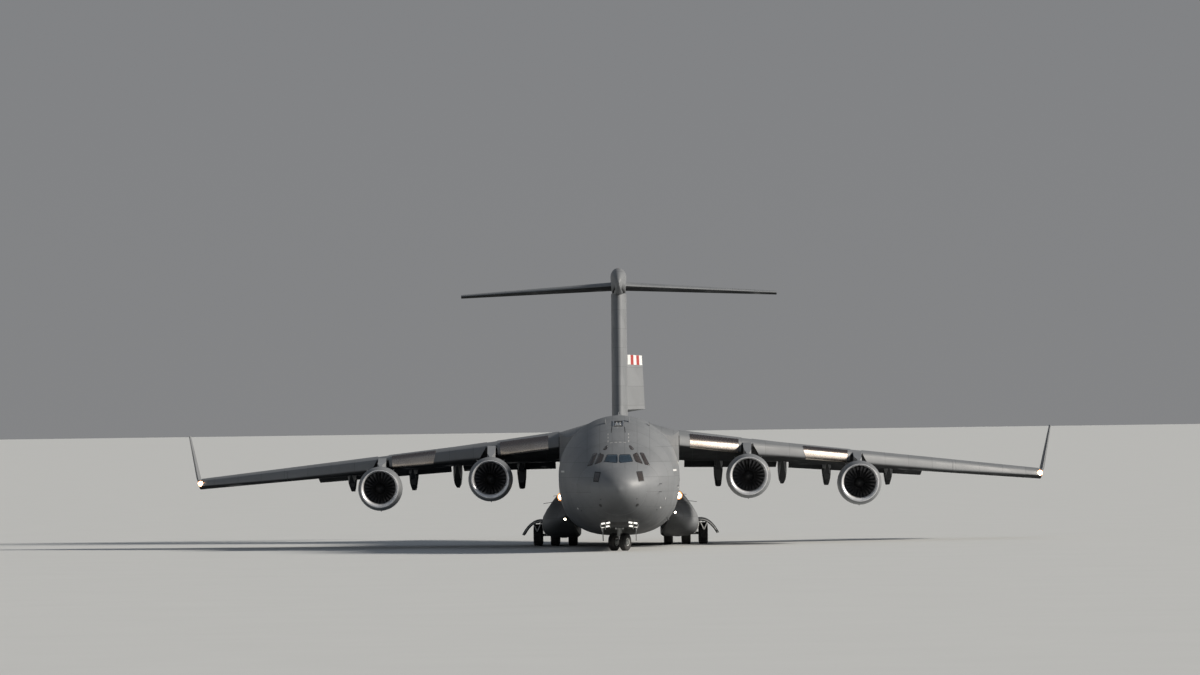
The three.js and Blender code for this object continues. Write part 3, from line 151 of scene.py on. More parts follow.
def spline(t, p, q, r, s):
    """The value at t, from q at 0 to r at 1, of a smooth curve through four values."""
    return 0.5 * (2 * q + (r - p) * t + (2 * p - 5 * q + 4 * r - s) * t**2 + (3 * q - p - 3 * r + s) * t**3)


def curve_through(points, steps):
    """A smooth line through points of any number of coordinates."""
    line = []
    for k, (a, b) in enumerate(pairwise(points)):
        before = points[k - 1] if k else [2 * p - q for p, q in zip(a, b)]
        after = points[k + 2] if k + 2 < len(points) else [2 * q - p for p, q in zip(a, b)]
        for step in range(steps):
            line.append([spline(step / steps, *values) for values in zip(before, a, b, after)])
    return [*line, list(points[-1])]


# Surfaces of the fuselage and the flying surfaces


def hull_point(station, angle, lift=0.0):
    _, half_width, top, bottom, middle, squareness = between(HULL, station)
    c, s = math.cos(angle), math.sin(angle)
    power = 1 if s > 0 else 2 / squareness
    lateral = math.copysign(abs(c) ** power, c) * (half_width + lift)
    if s > 0:
        return place(lateral, station, middle + s * (top - middle + lift))
    return place(lateral, station, middle - abs(s) ** power * (middle - bottom + lift))


def hull_side(station, height, side, lift=0.0):
    """The point of the fuselage's side at a station and height."""
    _, half_width, top, bottom, middle, squareness = between(HULL, station)
    if height > middle:
        share = math.sqrt(max(0.0, 1 - ((height - middle) / (top - middle)) ** 2))
    else:
        share = max(0.0, 1 - ((middle - height) / (middle - bottom)) ** squareness) ** (1 / squareness)
    return place(side * (half_width * share + lift), station, height)


def hull_front(lateral, height, lift=0.0):
    """The point of the nose that is seen from ahead at a lateral place and height, found by halving."""
    near, far = 0.0, 12.0
    halvings = 30
    for _ in range(halvings):
        station = (near + far) / 2
        _, half_width, top, bottom, middle, squareness = between(HULL, station)
        up = height > middle
        reach = (top - middle) if up else (middle - bottom)
        power = 2.0 if up else squareness
        inside = (abs(lateral) / half_width) ** power + (abs(height - middle) / reach) ** power < 1
        if inside:
            far = station
        else:
            near = station
    return place(lateral, far - lift, height)


def crown(lateral, station, lift=0.0):
    """The point of the fuselage's top at a lateral place and station."""
    _, half_width, top, _, middle, _ = between(HULL, station)
    share = math.sqrt(max(0.0, 1 - (lateral / half_width) ** 2))
    return place(lateral, station, middle + (top - middle) * share + lift)


def half_thickness(root_of_share):
    r = root_of_share
    return 5 * (0.2969 * r - 0.126 * r**2 - 0.3516 * r**4 + 0.2843 * r**6 - 0.1015 * r**8)


def section_at(table, lateral):
    k = 1 if len(table) > 2 and lateral > table[1][0] else 0
    t = (lateral - table[k][0]) / (table[k + 1][0] - table[k][0])
    return [a + t * (b - a) for a, b in zip(table[k], table[k + 1])]


def wing_point(lateral, t, lift, side):
    """A point on the wing; t * t is the share of the chord, and t is above 0 on the upper surface."""
    lateral, station, height, chord, thickness, incidence = section_at(WING, lateral)

    def outline(t):
        return t * t * chord, math.copysign(thickness * half_thickness(abs(t)), t) * chord

    x, z = outline(t)
    x0, z0 = outline(t - 0.005)
    x1, z1 = outline(t + 0.005)
    reach = math.hypot(x1 - x0, z1 - z0)
    x -= (z1 - z0) / reach * lift
    z += (x1 - x0) / reach * lift
    angle = math.radians(incidence)
    return place(
        side * lateral,
        station + x * math.cos(angle) + z * math.sin(angle),
        height + z * math.cos(angle) - x * math.sin(angle),
    )


# Mesh tools


def shown(name, bm, finishes, replaces=(), body="airframe", closed=True):
    """Makes the mesh an object that rides on a body."""
    if closed:
        bmesh.ops.remove_doubles(bm, verts=bm.verts, dist=MERGE)
        bmesh.ops.recalc_face_normals(bm, faces=bm.faces)
    mesh = bpy.data.meshes.new(name)
    bm.to_mesh(mesh)
    bm.free()
    if not mesh.polygons:
        raise RuntimeError(f"{name} has no faces")
    mesh.shade_smooth()
    mesh.set_sharp_from_angle(angle=SMOOTH_ANGLE)
    for finish in finishes if isinstance(finishes, (list, tuple)) else [finishes]:
        mesh.materials.append(bpy.data.materials[finish])
    made = bpy.data.objects.new(name, mesh)
    bpy.context.scene.collection.objects.link(made)
    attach(made, body)
    if replaces:
        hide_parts(*replaces)
    return made


def loft(bm, rings, capped=True):
    """A surface through closed rings of equal point counts."""
    current = bmesh.ops.create_circle(bm, segments=len(rings[0]), radius=1)["verts"]
    for vert, point in zip(current, rings[0]):
        vert.co = point
    first = edges = [bm.edges.get(pair) for pair in pairwise([*current, current[0]])]
    for points in rings[1:]:
        made = bmesh.ops.extrude_edge_only(bm, edges=edges)["geom"]
        fresh = {v for v in made if isinstance(v, bmesh.types.BMVert)}
        current = [next(e.other_vert(v) for e in v.link_edges if e.other_vert(v) in fresh) for v in current]
        for vert, point in zip(current, points):
            vert.co = point
        edges = [e for e in made if isinstance(e, bmesh.types.BMEdge) and set(e.verts) <= fresh]
    if capped:
        bmesh.ops.edgeloop_fill(bm, edges=first)
        bmesh.ops.edgeloop_fill(bm, edges=edges)
    return bm


def slab(bm, surface, across, along, low, high):
    """A plate on a surface: surface(u, v, lift) gives its points for u and v from 0 to 1."""
    verts = bmesh.ops.create_grid(bm, x_segments=across, y_segments=along, size=0.5)["verts"]
    where = [(v, v.co.x + 0.5, v.co.y + 0.5) for v in verts]
    faces = list({f for v in verts for f in v.link_faces})
    made = bmesh.ops.extrude_face_region(bm, geom=faces)["geom"]
    top = [(v, v.co.x + 0.5, v.co.y + 0.5) for v in made if isinstance(v, bmesh.types.BMVert)]
    for vert, u, v in where:
        vert.co = surface(u, v, low)
    for vert, u, v in top:
        vert.co = surface(u, v, high)
    return bm


def band(start, end, inner, outer):
    """The section of a flat ring, for lathe()."""
    return [[start, inner], [start, outer], [end, outer], [end, inner]]


def lathe(bm, profile, centre, axis, steps, closed=False, finish=0):
    """Turns (distance along the axis, radius) points, in real metres, about an axis through centre."""
    along = Vector(axis).normalized()
    out = along.orthogonal().normalized()
    verts = [bm.verts.new(centre + (along * a + out * r) * SCALE) for a, r in profile]
    edges = [bm.edges.new(pair) for pair in pairwise([*verts, verts[0]] if closed else verts)]
    faces_before = set(bm.faces)
    bmesh.ops.spin(
        bm, geom=[*verts, *edges], cent=centre, axis=along, dvec=(0, 0, 0), angle=2 * math.pi, steps=steps,
        use_merge=True, use_duplicate=False,
    )
    for face in set(bm.faces) - faces_before:
        face.material_index = finish
    return bm


def rod(bm, a, b, radius, sides=12, end_radius=None, finish=0):
    """A round bar between two points of the frame, its radius in real metres."""
    along = b - a
    turn = UP.rotation_difference(along).to_matrix().to_4x4()
    faces_before = set(bm.faces)
    bmesh.ops.create_cone(
        bm, cap_ends=True, segments=sides, radius1=radius * SCALE,
        radius2=(radius if end_radius is None else end_radius) * SCALE, depth=along.length,
        matrix=Matrix.Translation((a + b) / 2) @ turn,
    )
    for face in set(bm.faces) - faces_before:
        face.material_index = finish
    return bm


def box(bm, centre, size, turn=None, bevel=0.0, finish=0):
    """A box with rounded edges; its size and bevel are in real metres."""
    stretch = Matrix.Diagonal((*[s * SCALE for s in size], 1))
    matrix = Matrix.Translation(centre) @ (turn or Matrix.Identity(4)) @ stretch
    faces_before = set(bm.faces)
    verts = bmesh.ops.create_cube(bm, size=1, matrix=matrix)["verts"]
    if bevel:
        edges = list({e for v in verts for e in v.link_edges})
        bmesh.ops.bevel(
            bm, geom=edges, offset=bevel * SCALE, offset_type="OFFSET", affect="EDGES", segments=2,
            profile=0.5, material=-1,
        )
    for face in set(bm.faces) - faces_before:
        face.material_index = finish
    return bm


def carve(bm, planes, bounds):
    """Cuts the faces inside bounds along planes, and returns those behind all the planes."""
    low, high = place(*bounds[0]), place(*bounds[1])

    def near(face):
        c = face.calc_center_median()
        return all(low[k] <= c[k] <= high[k] for k in range(3))

    for point, normal in planes:
        faces = [f for f in bm.faces if near(f)]
        geom = [*faces, *{e for f in faces for e in f.edges}, *{v for f in faces for v in f.verts}]
        bmesh.ops.bisect_plane(bm, geom=geom, dist=1e-7, plane_co=point, plane_no=normal)
    return [
        f for f in bm.faces if near(f) and all((f.calc_center_median() - p).dot(n) < 0 for p, n in planes)
    ]


def outward_planes(outline, corner, direction):
    """Planes through an outline's edges, facing away from its middle.

    corner() places two numbers of the outline in the frame, and direction() makes a vector of them.
    """
    middle = corner(*[sum(values) / len(outline) for values in zip(*outline)])
    planes = []
    for a, b in pairwise([*outline, outline[0]]):
        normal = direction(b[1] - a[1], a[0] - b[0]).normalized()
        point = corner(*a)
        planes.append((point, -normal if (middle - point).dot(normal) > 0 else normal))
    return planes


def front_planes(outline):
    """Planes along an outline of (lateral, height) corners seen from ahead."""
    return outward_planes(outline, lambda x, z: place(x, 0, z), lambda x, z: Vector((x, 0, z)))


def side_planes(outline):
    """Planes along an outline of (station, height) corners seen from the side."""
    return outward_planes(outline, lambda y, z: place(0, y, z), lambda y, z: Vector((0, y, z)))


def clipped(outline, cut):
    """An outline with each corner cut off, so that it looks rounded."""
    made = []
    for before, here, after in zip([outline[-1], *outline[:-1]], outline, [*outline[1:], outline[0]]):
        for other in (before, after):
            reach = math.dist(here, other)
            step = min(cut, reach * 0.3) / reach
            made.append([h + (o - h) * step for h, o in zip(here, other)])
    return made


def add_mesh(bm, other):
    """Adds another mesh's faces to a mesh."""
    mesh = bpy.data.meshes.new("part")
    other.to_mesh(mesh)
    other.free()
    bm.from_mesh(mesh)
    bpy.data.meshes.remove(mesh)


def cut_out(bm, faces):
    bmesh.ops.delete(bm, geom=faces, context="FACES")


def split_off(bm, faces):
    """Takes faces out of a mesh into a mesh of their own."""
    bm.faces.index_update()
    taken = {face.index for face in faces}
    other = bm.copy()
    other.faces.index_update()
    cut_out(other, [f for f in other.faces if f.index not in taken])
    cut_out(bm, faces)
    return other


# Finishes


class Finish:
    """A material whose nodes read the piece's own Object coordinates."""

    def __init__(self, name, colour, roughness, metallic=0.0, **sockets):
        self.material = bpy.data.materials.new(name)
        self.material.use_nodes = True
        self.tree = self.material.node_tree
        self.shader = self.tree.nodes["Principled BSDF"]
        self.colour = tuple(colour)
        self.shader.inputs["Base Color"].default_value = (*colour, 1)
        self.shader.inputs["Roughness"].default_value = roughness
        self.shader.inputs["Metallic"].default_value = metallic
        for socket, value in sockets.items():
            self.shader.inputs[socket.replace("_", " ")].default_value = value
        self.place = self.node("TexCoord").outputs["Object"]

    def node(self, kind, inputs=(), **settings):
        made = self.tree.nodes.new("ShaderNode" + kind)
        for key, value in settings.items():
            setattr(made, key, value)
        for key, value in dict(inputs).items():
            self.feed(value, made.inputs[key])
        return made

    def feed(self, value, socket):
        if isinstance(value, bpy.types.NodeSocket):
            self.tree.links.new(value, socket)
        else:
            socket.default_value = value

    def math(self, operation, *values, clamp=False):
        inputs = dict(enumerate(values))
        return self.node("Math", inputs, operation=operation, use_clamp=clamp).outputs[0]

    def axis(self, which):
        return self.node("SeparateXYZ", {0: self.place}).outputs[which]

    def facing(self, which):
        """A part of the surface's own direction, which turns with the piece."""
        normal = self.node("TexCoord").outputs["Normal"]
        return self.node("SeparateXYZ", {0: normal}).outputs[which]

    def remap(self, value, low, high, to_low=0.0, to_high=1.0):
        inputs = {"Value": value, "From Min": low, "From Max": high, "To Min": to_low, "To Max": to_high}
        return self.node("MapRange", inputs).outputs[0]

    def noise(self, scale, stretch=(1, 1, 1), detail=3.0, roughness=0.55):
        mapped = self.node("Mapping", {"Vector": self.place, "Scale": stretch}).outputs[0]
        inputs = {"Vector": mapped, "Scale": scale, "Detail": detail, "Roughness": roughness}
        return self.node("TexNoise", inputs).outputs[0]

    def mix(self, factor, a, b, blend="MIX"):
        a = (*a, 1) if isinstance(a, tuple) else a
        b = (*b, 1) if isinstance(b, tuple) else b
        return self.node("Mix", {0: factor, 6: a, 7: b}, data_type="RGBA", blend_type=blend).outputs[2]

    def line(self, away, width):
        """1 where the distance from a line is under half its width, fading to 0 beside it."""
        return self.remap(away, width * 0.4, width * 0.8, 1.0, 0.0)

    def lines(self, value, pitch, width):
        """1 on lines that are a pitch apart, 0 between them."""
        return self.line(self.math("PINGPONG", value, pitch / 2), width)

    def line_at(self, value, places, width):
        """1 on lines at given places."""
        away = [self.math("ABSOLUTE", self.math("SUBTRACT", value, p)) for p in places]
        return self.join([self.line(distance, width) for distance in away])

    def join(self, masks):
        joined = masks[0]
        for mask in masks[1:]:
            joined = self.math("MAXIMUM", joined, mask)
        return joined

    def cells(self, *axes):
        """One random value from 0 to 1 for each panel; axes are (value, pitch) pairs."""
        parts = [self.math("FLOOR", self.math("DIVIDE", value, pitch)) for value, pitch in axes]
        inputs = dict(enumerate(parts))
        whole = self.node("CombineXYZ", inputs).outputs[0]
        return self.node("TexWhiteNoise", {"Vector": whole}, noise_dimensions="3D").outputs["Value"]

    def paint(self, colour):
        self.tree.links.new(colour, self.shader.inputs["Base Color"])

    def rough(self, value):
        self.tree.links.new(value, self.shader.inputs["Roughness"])

    def gloss(self, value):
        self.tree.links.new(value, self.shader.inputs["Specular IOR Level"])

    def bump(self, height, strength, distance):
        made = self.node("Bump", {"Height": height, "Strength": strength, "Distance": distance})
        self.tree.links.new(made.outputs[0], self.shader.inputs["Normal"])


def shade(colour, factor):
    return tuple(c * factor for c in colour)


# Distances between the lines in the paint, and the lines' widths, on the real aeroplane
FRAME_PITCH = 1.27
LAP_PITCH = 0.83
CROWN_LAP_PITCH = 0.7
RIB_PITCH = 1.42
FIN_RIB_PITCH = 1.18
STRIP_PITCH = 0.72
FINE_LINE = 0.012
LAP_LINE = 0.016
FRAME_LINE = 0.018
UNDIVIDED = 40.0  # a pitch so long that panels don't change along that way
# Stretch of the streaks, which run along the airflow
ALONG_HULL = (3, 0.12, 3)
ALONG_WING = (3, 0.15, 3)
PLAIN_GLOSS = 0.5


def aircraft_paint(finish, panel_tone, masks, flow, wear=0.5, belly=0.92, above=0.04, below=-0.32):
    """Semi-matt aircraft paint: panels that differ a little in tone, lines, and streaks along the airflow.

    Undersides get a painted shade, darker, and their gloss is duller; belly is how much, above and below the
    slopes between which it grows to its fullest.
    """
    colour = finish.colour
    mottle = finish.noise(1.1, detail=5)
    streaks = finish.noise(2.2, stretch=flow, detail=4, roughness=0.6)
    tone = finish.math("ADD", finish.math("MULTIPLY", panel_tone, 0.5), finish.math("MULTIPLY", mottle, 0.5))
    painted = finish.mix(tone, shade(colour, 0.88), shade(colour, 1.12))
    streaked = finish.mix(finish.remap(streaks, 0.52, 0.8, 0.0, wear), painted, shade(colour, 0.72))
    faded = finish.mix(finish.remap(streaks, 0.45, 0.2, 0.0, wear * 0.5), streaked, shade(colour, 1.22))
    # Painted shade: faces that turn downwards are darkened towards an eighth of the colour, and their gloss
    # is lowered.
    downward = finish.remap(finish.facing(2), above, below)
    painted_underside_shade = finish.math("MULTIPLY", downward, finish.remap(mottle, 0.2, 0.6, 0.8, 1.0))
    faded = finish.mix(finish.math("MULTIPLY", painted_underside_shade, belly), faded, shade(colour, 0.12))
    lined = finish.mix(finish.math("MULTIPLY", masks, 0.62), faded, shade(colour, 0.4))
    finish.paint(lined)
    finish.gloss(finish.remap(painted_underside_shade, 0.0, 0.9, PLAIN_GLOSS, PLAIN_GLOSS * (1 - min(1, belly * 1.1))))
    finish.rough(finish.remap(mottle, 0.3, 0.7, 0.42, 0.58))
    grain = finish.noise(60, detail=2)
    height = finish.math("SUBTRACT", finish.math("MULTIPLY", grain, 0.12), masks)
    finish.bump(height, 0.35, 0.004)


def radome_paint(name, colour):
    """Smooth paint of the nose cone, without panel lines but for two fine lightning strips."""
    f = Finish(name, colour, 0.5)
    pitch = STRIP_PITCH * SCALE
    strips = f.lines(f.math("ADD", f.axis(0), pitch / 2), pitch, FINE_LINE * SCALE)
    faint = f.math("MULTIPLY", strips, 0.35)
    aircraft_paint(f, f.noise(0.7), faint, ALONG_HULL, wear=0.3, belly=0.8, below=-0.85)


def fuselage_paint(name, colour):
    """Paint with a line at each frame, and laps along the steep sides and the flat crown and belly."""
    f = Finish(name, colour, 0.5)
    x, y, z = (f.axis(k) for k in range(3))
    behind_nose = f.remap(y, place(0, 1.5, 0).y, place(0, 2.2, 0).y)
    rings = f.math("MULTIPLY", f.lines(y, FRAME_PITCH * SCALE, FRAME_LINE * SCALE), behind_nose)
    steep = f.remap(f.math("ABSOLUTE", f.facing(2)), 0.68, 0.72, 1.0, 0.0)
    side_laps = f.math("MULTIPLY", f.lines(z, LAP_PITCH * SCALE, LAP_LINE * SCALE), steep)
    pitch = CROWN_LAP_PITCH * SCALE
    crown_laps = f.lines(f.math("ADD", x, pitch / 2), pitch, LAP_LINE * SCALE)
    crown_laps = f.math("MULTIPLY", crown_laps, f.math("SUBTRACT", 1.0, steep))
    panel = f.cells((x, UNDIVIDED), (y, FRAME_PITCH * SCALE), (z, LAP_PITCH * SCALE))
    masks = f.join([rings, side_laps, crown_laps])
    aircraft_paint(f, panel, masks, ALONG_HULL, wear=0.42, belly=0.8, below=-0.85)


def wing_paint(name, colour, spars, **painted_underside_shade):
    """Paint with rib lines, and spar lines at given distances behind the leading edge."""
    f = Finish(name, colour, 0.5)
    x, y = f.math("ABSOLUTE", f.axis(0)), f.axis(1)
    ribs = f.lines(x, RIB_PITCH * SCALE, LAP_LINE * SCALE)
    behind = f.math("SUBTRACT", y, f.math("MULTIPLY", x, SWEEP))
    edge = place(0, WING_APEX, 0).y
    spar_lines = f.line_at(behind, [edge + d * SCALE for d in spars], FRAME_LINE * SCALE)
    panel = f.cells((x, RIB_PITCH * SCALE), (behind, 1.1 * SCALE), (f.axis(2), UNDIVIDED))
    # The keywords set the painted shade of the undersides.
    aircraft_paint(f, panel, f.join([ribs, spar_lines]), ALONG_WING, wear=0.36, **painted_underside_shade)


def fin_paint(name, colour):
    """Paint with level rib lines, and spar lines that lean back as the fin does."""
    f = Finish(name, colour, 0.5)
    y, z = f.axis(1), f.axis(2)
    ribs = f.lines(z, FIN_RIB_PITCH * SCALE, LAP_LINE * SCALE)
    (low, edge, *_), (high, top_edge, *_) = FIN
    sweep = (top_edge - edge) / (high - low)
    behind = f.math("SUBTRACT", y, f.math("MULTIPLY", z, sweep))
    start = place(0, edge, 0).y - low * SCALE * sweep
    spars = f.line_at(behind, [start + d * SCALE for d in (0.9, 3.1, 5.0)], FRAME_LINE * SCALE)
    panel = f.cells((y, 1.6 * SCALE), (z, FIN_RIB_PITCH * SCALE), (f.axis(0), UNDIVIDED))
    aircraft_paint(f, panel, f.join([ribs, spars]), ALONG_WING, wear=0.3, belly=0.3, below=-0.9)


def plain_paint(name, colour, roughness=0.5, wear=0.3):
    """Paint for small pieces: mottled, with worn and dirty spots."""
    f = Finish(name, colour, roughness)
    mottle = f.noise(9, detail=5)
    dirt = f.noise(3.2, detail=6, roughness=0.65)
    painted = f.mix(mottle, shade(colour, 0.85), shade(colour, 1.12))
    dirty = f.mix(f.remap(dirt, 0.5, 0.75, 0.0, wear), painted, shade(colour, 0.45))
    f.paint(dirty)
    f.rough(f.remap(mottle, 0.3, 0.7, max(0.05, roughness - 0.08), roughness + 0.1))
    f.bump(f.noise(90, detail=2), 0.2, 0.001)


def bare_metal(name, colour, roughness):
    f = Finish(name, colour, roughness, metallic=1.0)
    brush = f.noise(30, detail=4)
    stain = f.noise(4, detail=5)
    f.paint(f.mix(f.remap(stain, 0.35, 0.75), colour, shade(colour, 0.72)))
    f.rough(f.remap(brush, 0.3, 0.7, roughness * 0.8, roughness * 1.35))
    f.bump(brush, 0.08, 0.0008)


def polished_metal(name, colour):
    """Bare leading edge: bright, turning dark brown where it faces upwards, with brownish blooms here and
    there.
    """
    f = Finish(name, colour, 0.26, metallic=1.0)
    brush = f.noise(24, stretch=(0.3, 3, 3), detail=4)
    bloom = f.noise(1.6, stretch=(0.5, 1, 1), detail=3)
    tinted = f.mix(f.remap(f.facing(2), 0.1, 0.75), colour, (0.26, 0.21, 0.19))
    f.paint(f.mix(f.remap(bloom, 0.45, 0.7, 0.0, 0.5), tinted, (0.3, 0.24, 0.2)))
    f.rough(f.remap(brush, 0.3, 0.7, 0.22, 0.34))
    f.bump(brush, 0.06, 0.0008)


def bright_lip(name, colour):
    """Satin bare metal of the engines' inlet lips, streaked around the ring."""
    f = Finish(name, colour, 0.34, metallic=0.45)
    streaks = f.noise(5, stretch=(1, 0.2, 1), detail=4)
    f.paint(f.mix(f.remap(streaks, 0.4, 0.75), colour, shade(colour, 0.7)))
    f.rough(f.remap(streaks, 0.3, 0.7, 0.26, 0.4))
    f.bump(streaks, 0.05, 0.0008)


def scorched_metal(name, colour):
    """Metal of the hot engine core: straw and blue heat tints in bands."""
    f = Finish(name, colour, 0.34, metallic=1.0)
    bands = f.noise(2.4, stretch=(0.6, 4, 0.6), detail=4)
    tinted = f.mix(f.remap(bands, 0.3, 0.55), colour, (0.3, 0.22, 0.14))
    f.paint(f.mix(f.remap(bands, 0.55, 0.75), tinted, (0.13, 0.14, 0.19)))
    f.rough(f.remap(bands, 0.3, 0.7, 0.28, 0.45))
    f.bump(f.noise(40, stretch=(1, 0.2, 1)), 0.1, 0.001)


def rubber(name, colour):
    f = Finish(name, colour, 0.82)
    dust = f.noise(6, detail=6, roughness=0.65)
    f.paint(f.mix(f.remap(dust, 0.42, 0.72), colour, (0.055, 0.052, 0.047)))
    f.rough(f.remap(dust, 0.3, 0.7, 0.74, 0.92))
    f.bump(f.noise(220, detail=3), 0.35, 0.001)


def glass(name, colour, density):
    f = Finish(name, colour, 0.06, Transmission_Weight=density, IOR=1.5, Coat_Weight=0.6, Coat_Roughness=0.03)
    haze = f.noise(5, detail=4)
    f.paint(f.mix(haze, shade(colour, 0.75), shade(colour, 1.25)))
    f.rough(f.remap(haze, 0.3, 0.7, 0.04, 0.12))


def lamp(name, colour, strength):
    f = Finish(name, colour, 0.2, Emission_Strength=strength)
    f.shader.inputs["Emission Color"].default_value = (*colour, 1)
    cell = f.noise(60, detail=1)
    f.paint(f.mix(cell, shade(colour, 0.9), colour))


def worn_floor(name, colour, roughness):
    """Cargo floor and interior panels: scuffs along the loading direction."""
    f = Finish(name, colour, roughness)
    frames = f.lines(f.axis(1), FRAME_PITCH * SCALE, 0.05 * SCALE)
    scuffs = f.noise(7, stretch=(4, 0.5, 4), detail=6, roughness=0.65)
    scuffed = f.mix(f.remap(scuffs, 0.48, 0.72), colour, shade(colour, 0.55))
    f.paint(f.mix(f.math("MULTIPLY", frames, 0.5), scuffed, shade(colour, 0.6)))
    f.rough(f.remap(scuffs, 0.3, 0.7, roughness - 0.1, roughness + 0.1))
    f.bump(frames, 0.5, 0.01)


# Settings


COLOUR = {"subtype": "COLOR", "size": 3, "min": 0, "max": 1}


class PaintSettings(bpy.types.PropertyGroup):
    skin: FloatVectorProperty(
        name="Skin", description="Grey of hull, wings and tail", default=(0.188, 0.196, 0.204), **COLOUR
    )
    radome: FloatVectorProperty(
        name="Radome", description="Grey of the nose cone", default=(0.186, 0.194, 0.202), **COLOUR
    )
    gear: FloatVectorProperty(
        name="Landing gear", description="Pale paint of the gear legs", default=(0.42, 0.43, 0.43), **COLOUR
    )
    cabin: FloatVectorProperty(
        name="Interior", description="Paint of hold and flight deck", default=(0.24, 0.26, 0.25), **COLOUR
    )
    signal_red: FloatVectorProperty(
        name="Rudder bars", description="Red of the rudder's bars", default=(0.36, 0.04, 0.035), **COLOUR
    )
    windscreen: FloatVectorProperty(
        name="Windscreen", description="Tint of the windscreen", default=(0.035, 0.06, 0.085), **COLOUR
    )


class SkinSettings(bpy.types.PropertyGroup):
    sides: IntProperty(name="Sides", description="Faces around the fuselage", default=112, min=28, max=256)
    pitch: FloatProperty(
        name="Ring pitch", description="Distance between the fuselage's rings, full size",
        default=0.42, min=0.1, max=2, unit="LENGTH",
    )
    thickness: FloatProperty(
        name="Skin thickness", description="Thickness of the fuselage's wall, full size",
        default=0.12, min=0.05, max=0.15, unit="LENGTH",
    )
    seal: FloatProperty(
        name="Window seal", description="Width of the seal round a window, full size",
        default=0.03, min=0.01, max=0.08, unit="LENGTH",
    )


class EngineSettings(bpy.types.PropertyGroup):
    steps: IntProperty(name="Steps", description="Faces around an engine cowl", default=72, min=24, max=128)
    blades: IntProperty(name="Fan blades", description="Blades of one fan", default=24, min=8, max=40)
    vanes: IntProperty(name="Guide vanes", description="Vanes behind one fan", default=28, min=8, max=48)
    twist: FloatProperty(
        name="Blade twist", description="Twist of a fan blade from root to tip", subtype="ANGLE",
        default=math.radians(34), min=0, max=1.2,
    )


class GearSettings(bpy.types.PropertyGroup):
    steps: IntProperty(name="Steps", description="Faces around a tyre", default=64, min=24, max=128)
    groove: FloatProperty(
        name="Groove width", description="Width of a groove in the tread, full size",
        default=0.022, min=0.005, max=0.05, unit="LENGTH",
    )
    bolts: IntProperty(name="Wheel bolts", description="Bolts on one wheel", default=10, min=4, max=20)


class LightSettings(bpy.types.PropertyGroup):
    lamp_colour: FloatVectorProperty(
        name="Lamp colour", description="Colour of the lit lamps", default=(1.0, 0.83, 0.62), **COLOUR
    )
    lamp_strength: FloatProperty(
        name="Lamp strength", description="Brightness of the lit lamps", default=22, min=0, max=200,
    )
    sun_strength: FloatProperty(name="Sun strength", description="Strength of the sun", default=4.6, min=0)
    sky_strength: FloatProperty(name="Sky strength", description="Strength of the sky", default=0.28, min=0)
    focal_length: FloatProperty(
        name="Focal length", description="The camera's focal length", default=203.4, min=10,
        subtype="DISTANCE_CAMERA",
    )
    camera_height: FloatProperty(
        name="Camera height", description="Height of the camera over the ground", default=3.5, min=0.1,
        unit="LENGTH",
    )
    camera_ahead: FloatProperty(
        name="Camera distance", description="Distance from the nose to the camera", default=187.5, min=10,
        unit="LENGTH",
    )


SETTINGS = {
    "aeroplane_paint": PaintSettings,
    "aeroplane_skin": SkinSettings,
    "aeroplane_engines": EngineSettings,
    "aeroplane_gear": GearSettings,
    "aeroplane_lights": LightSettings,
}


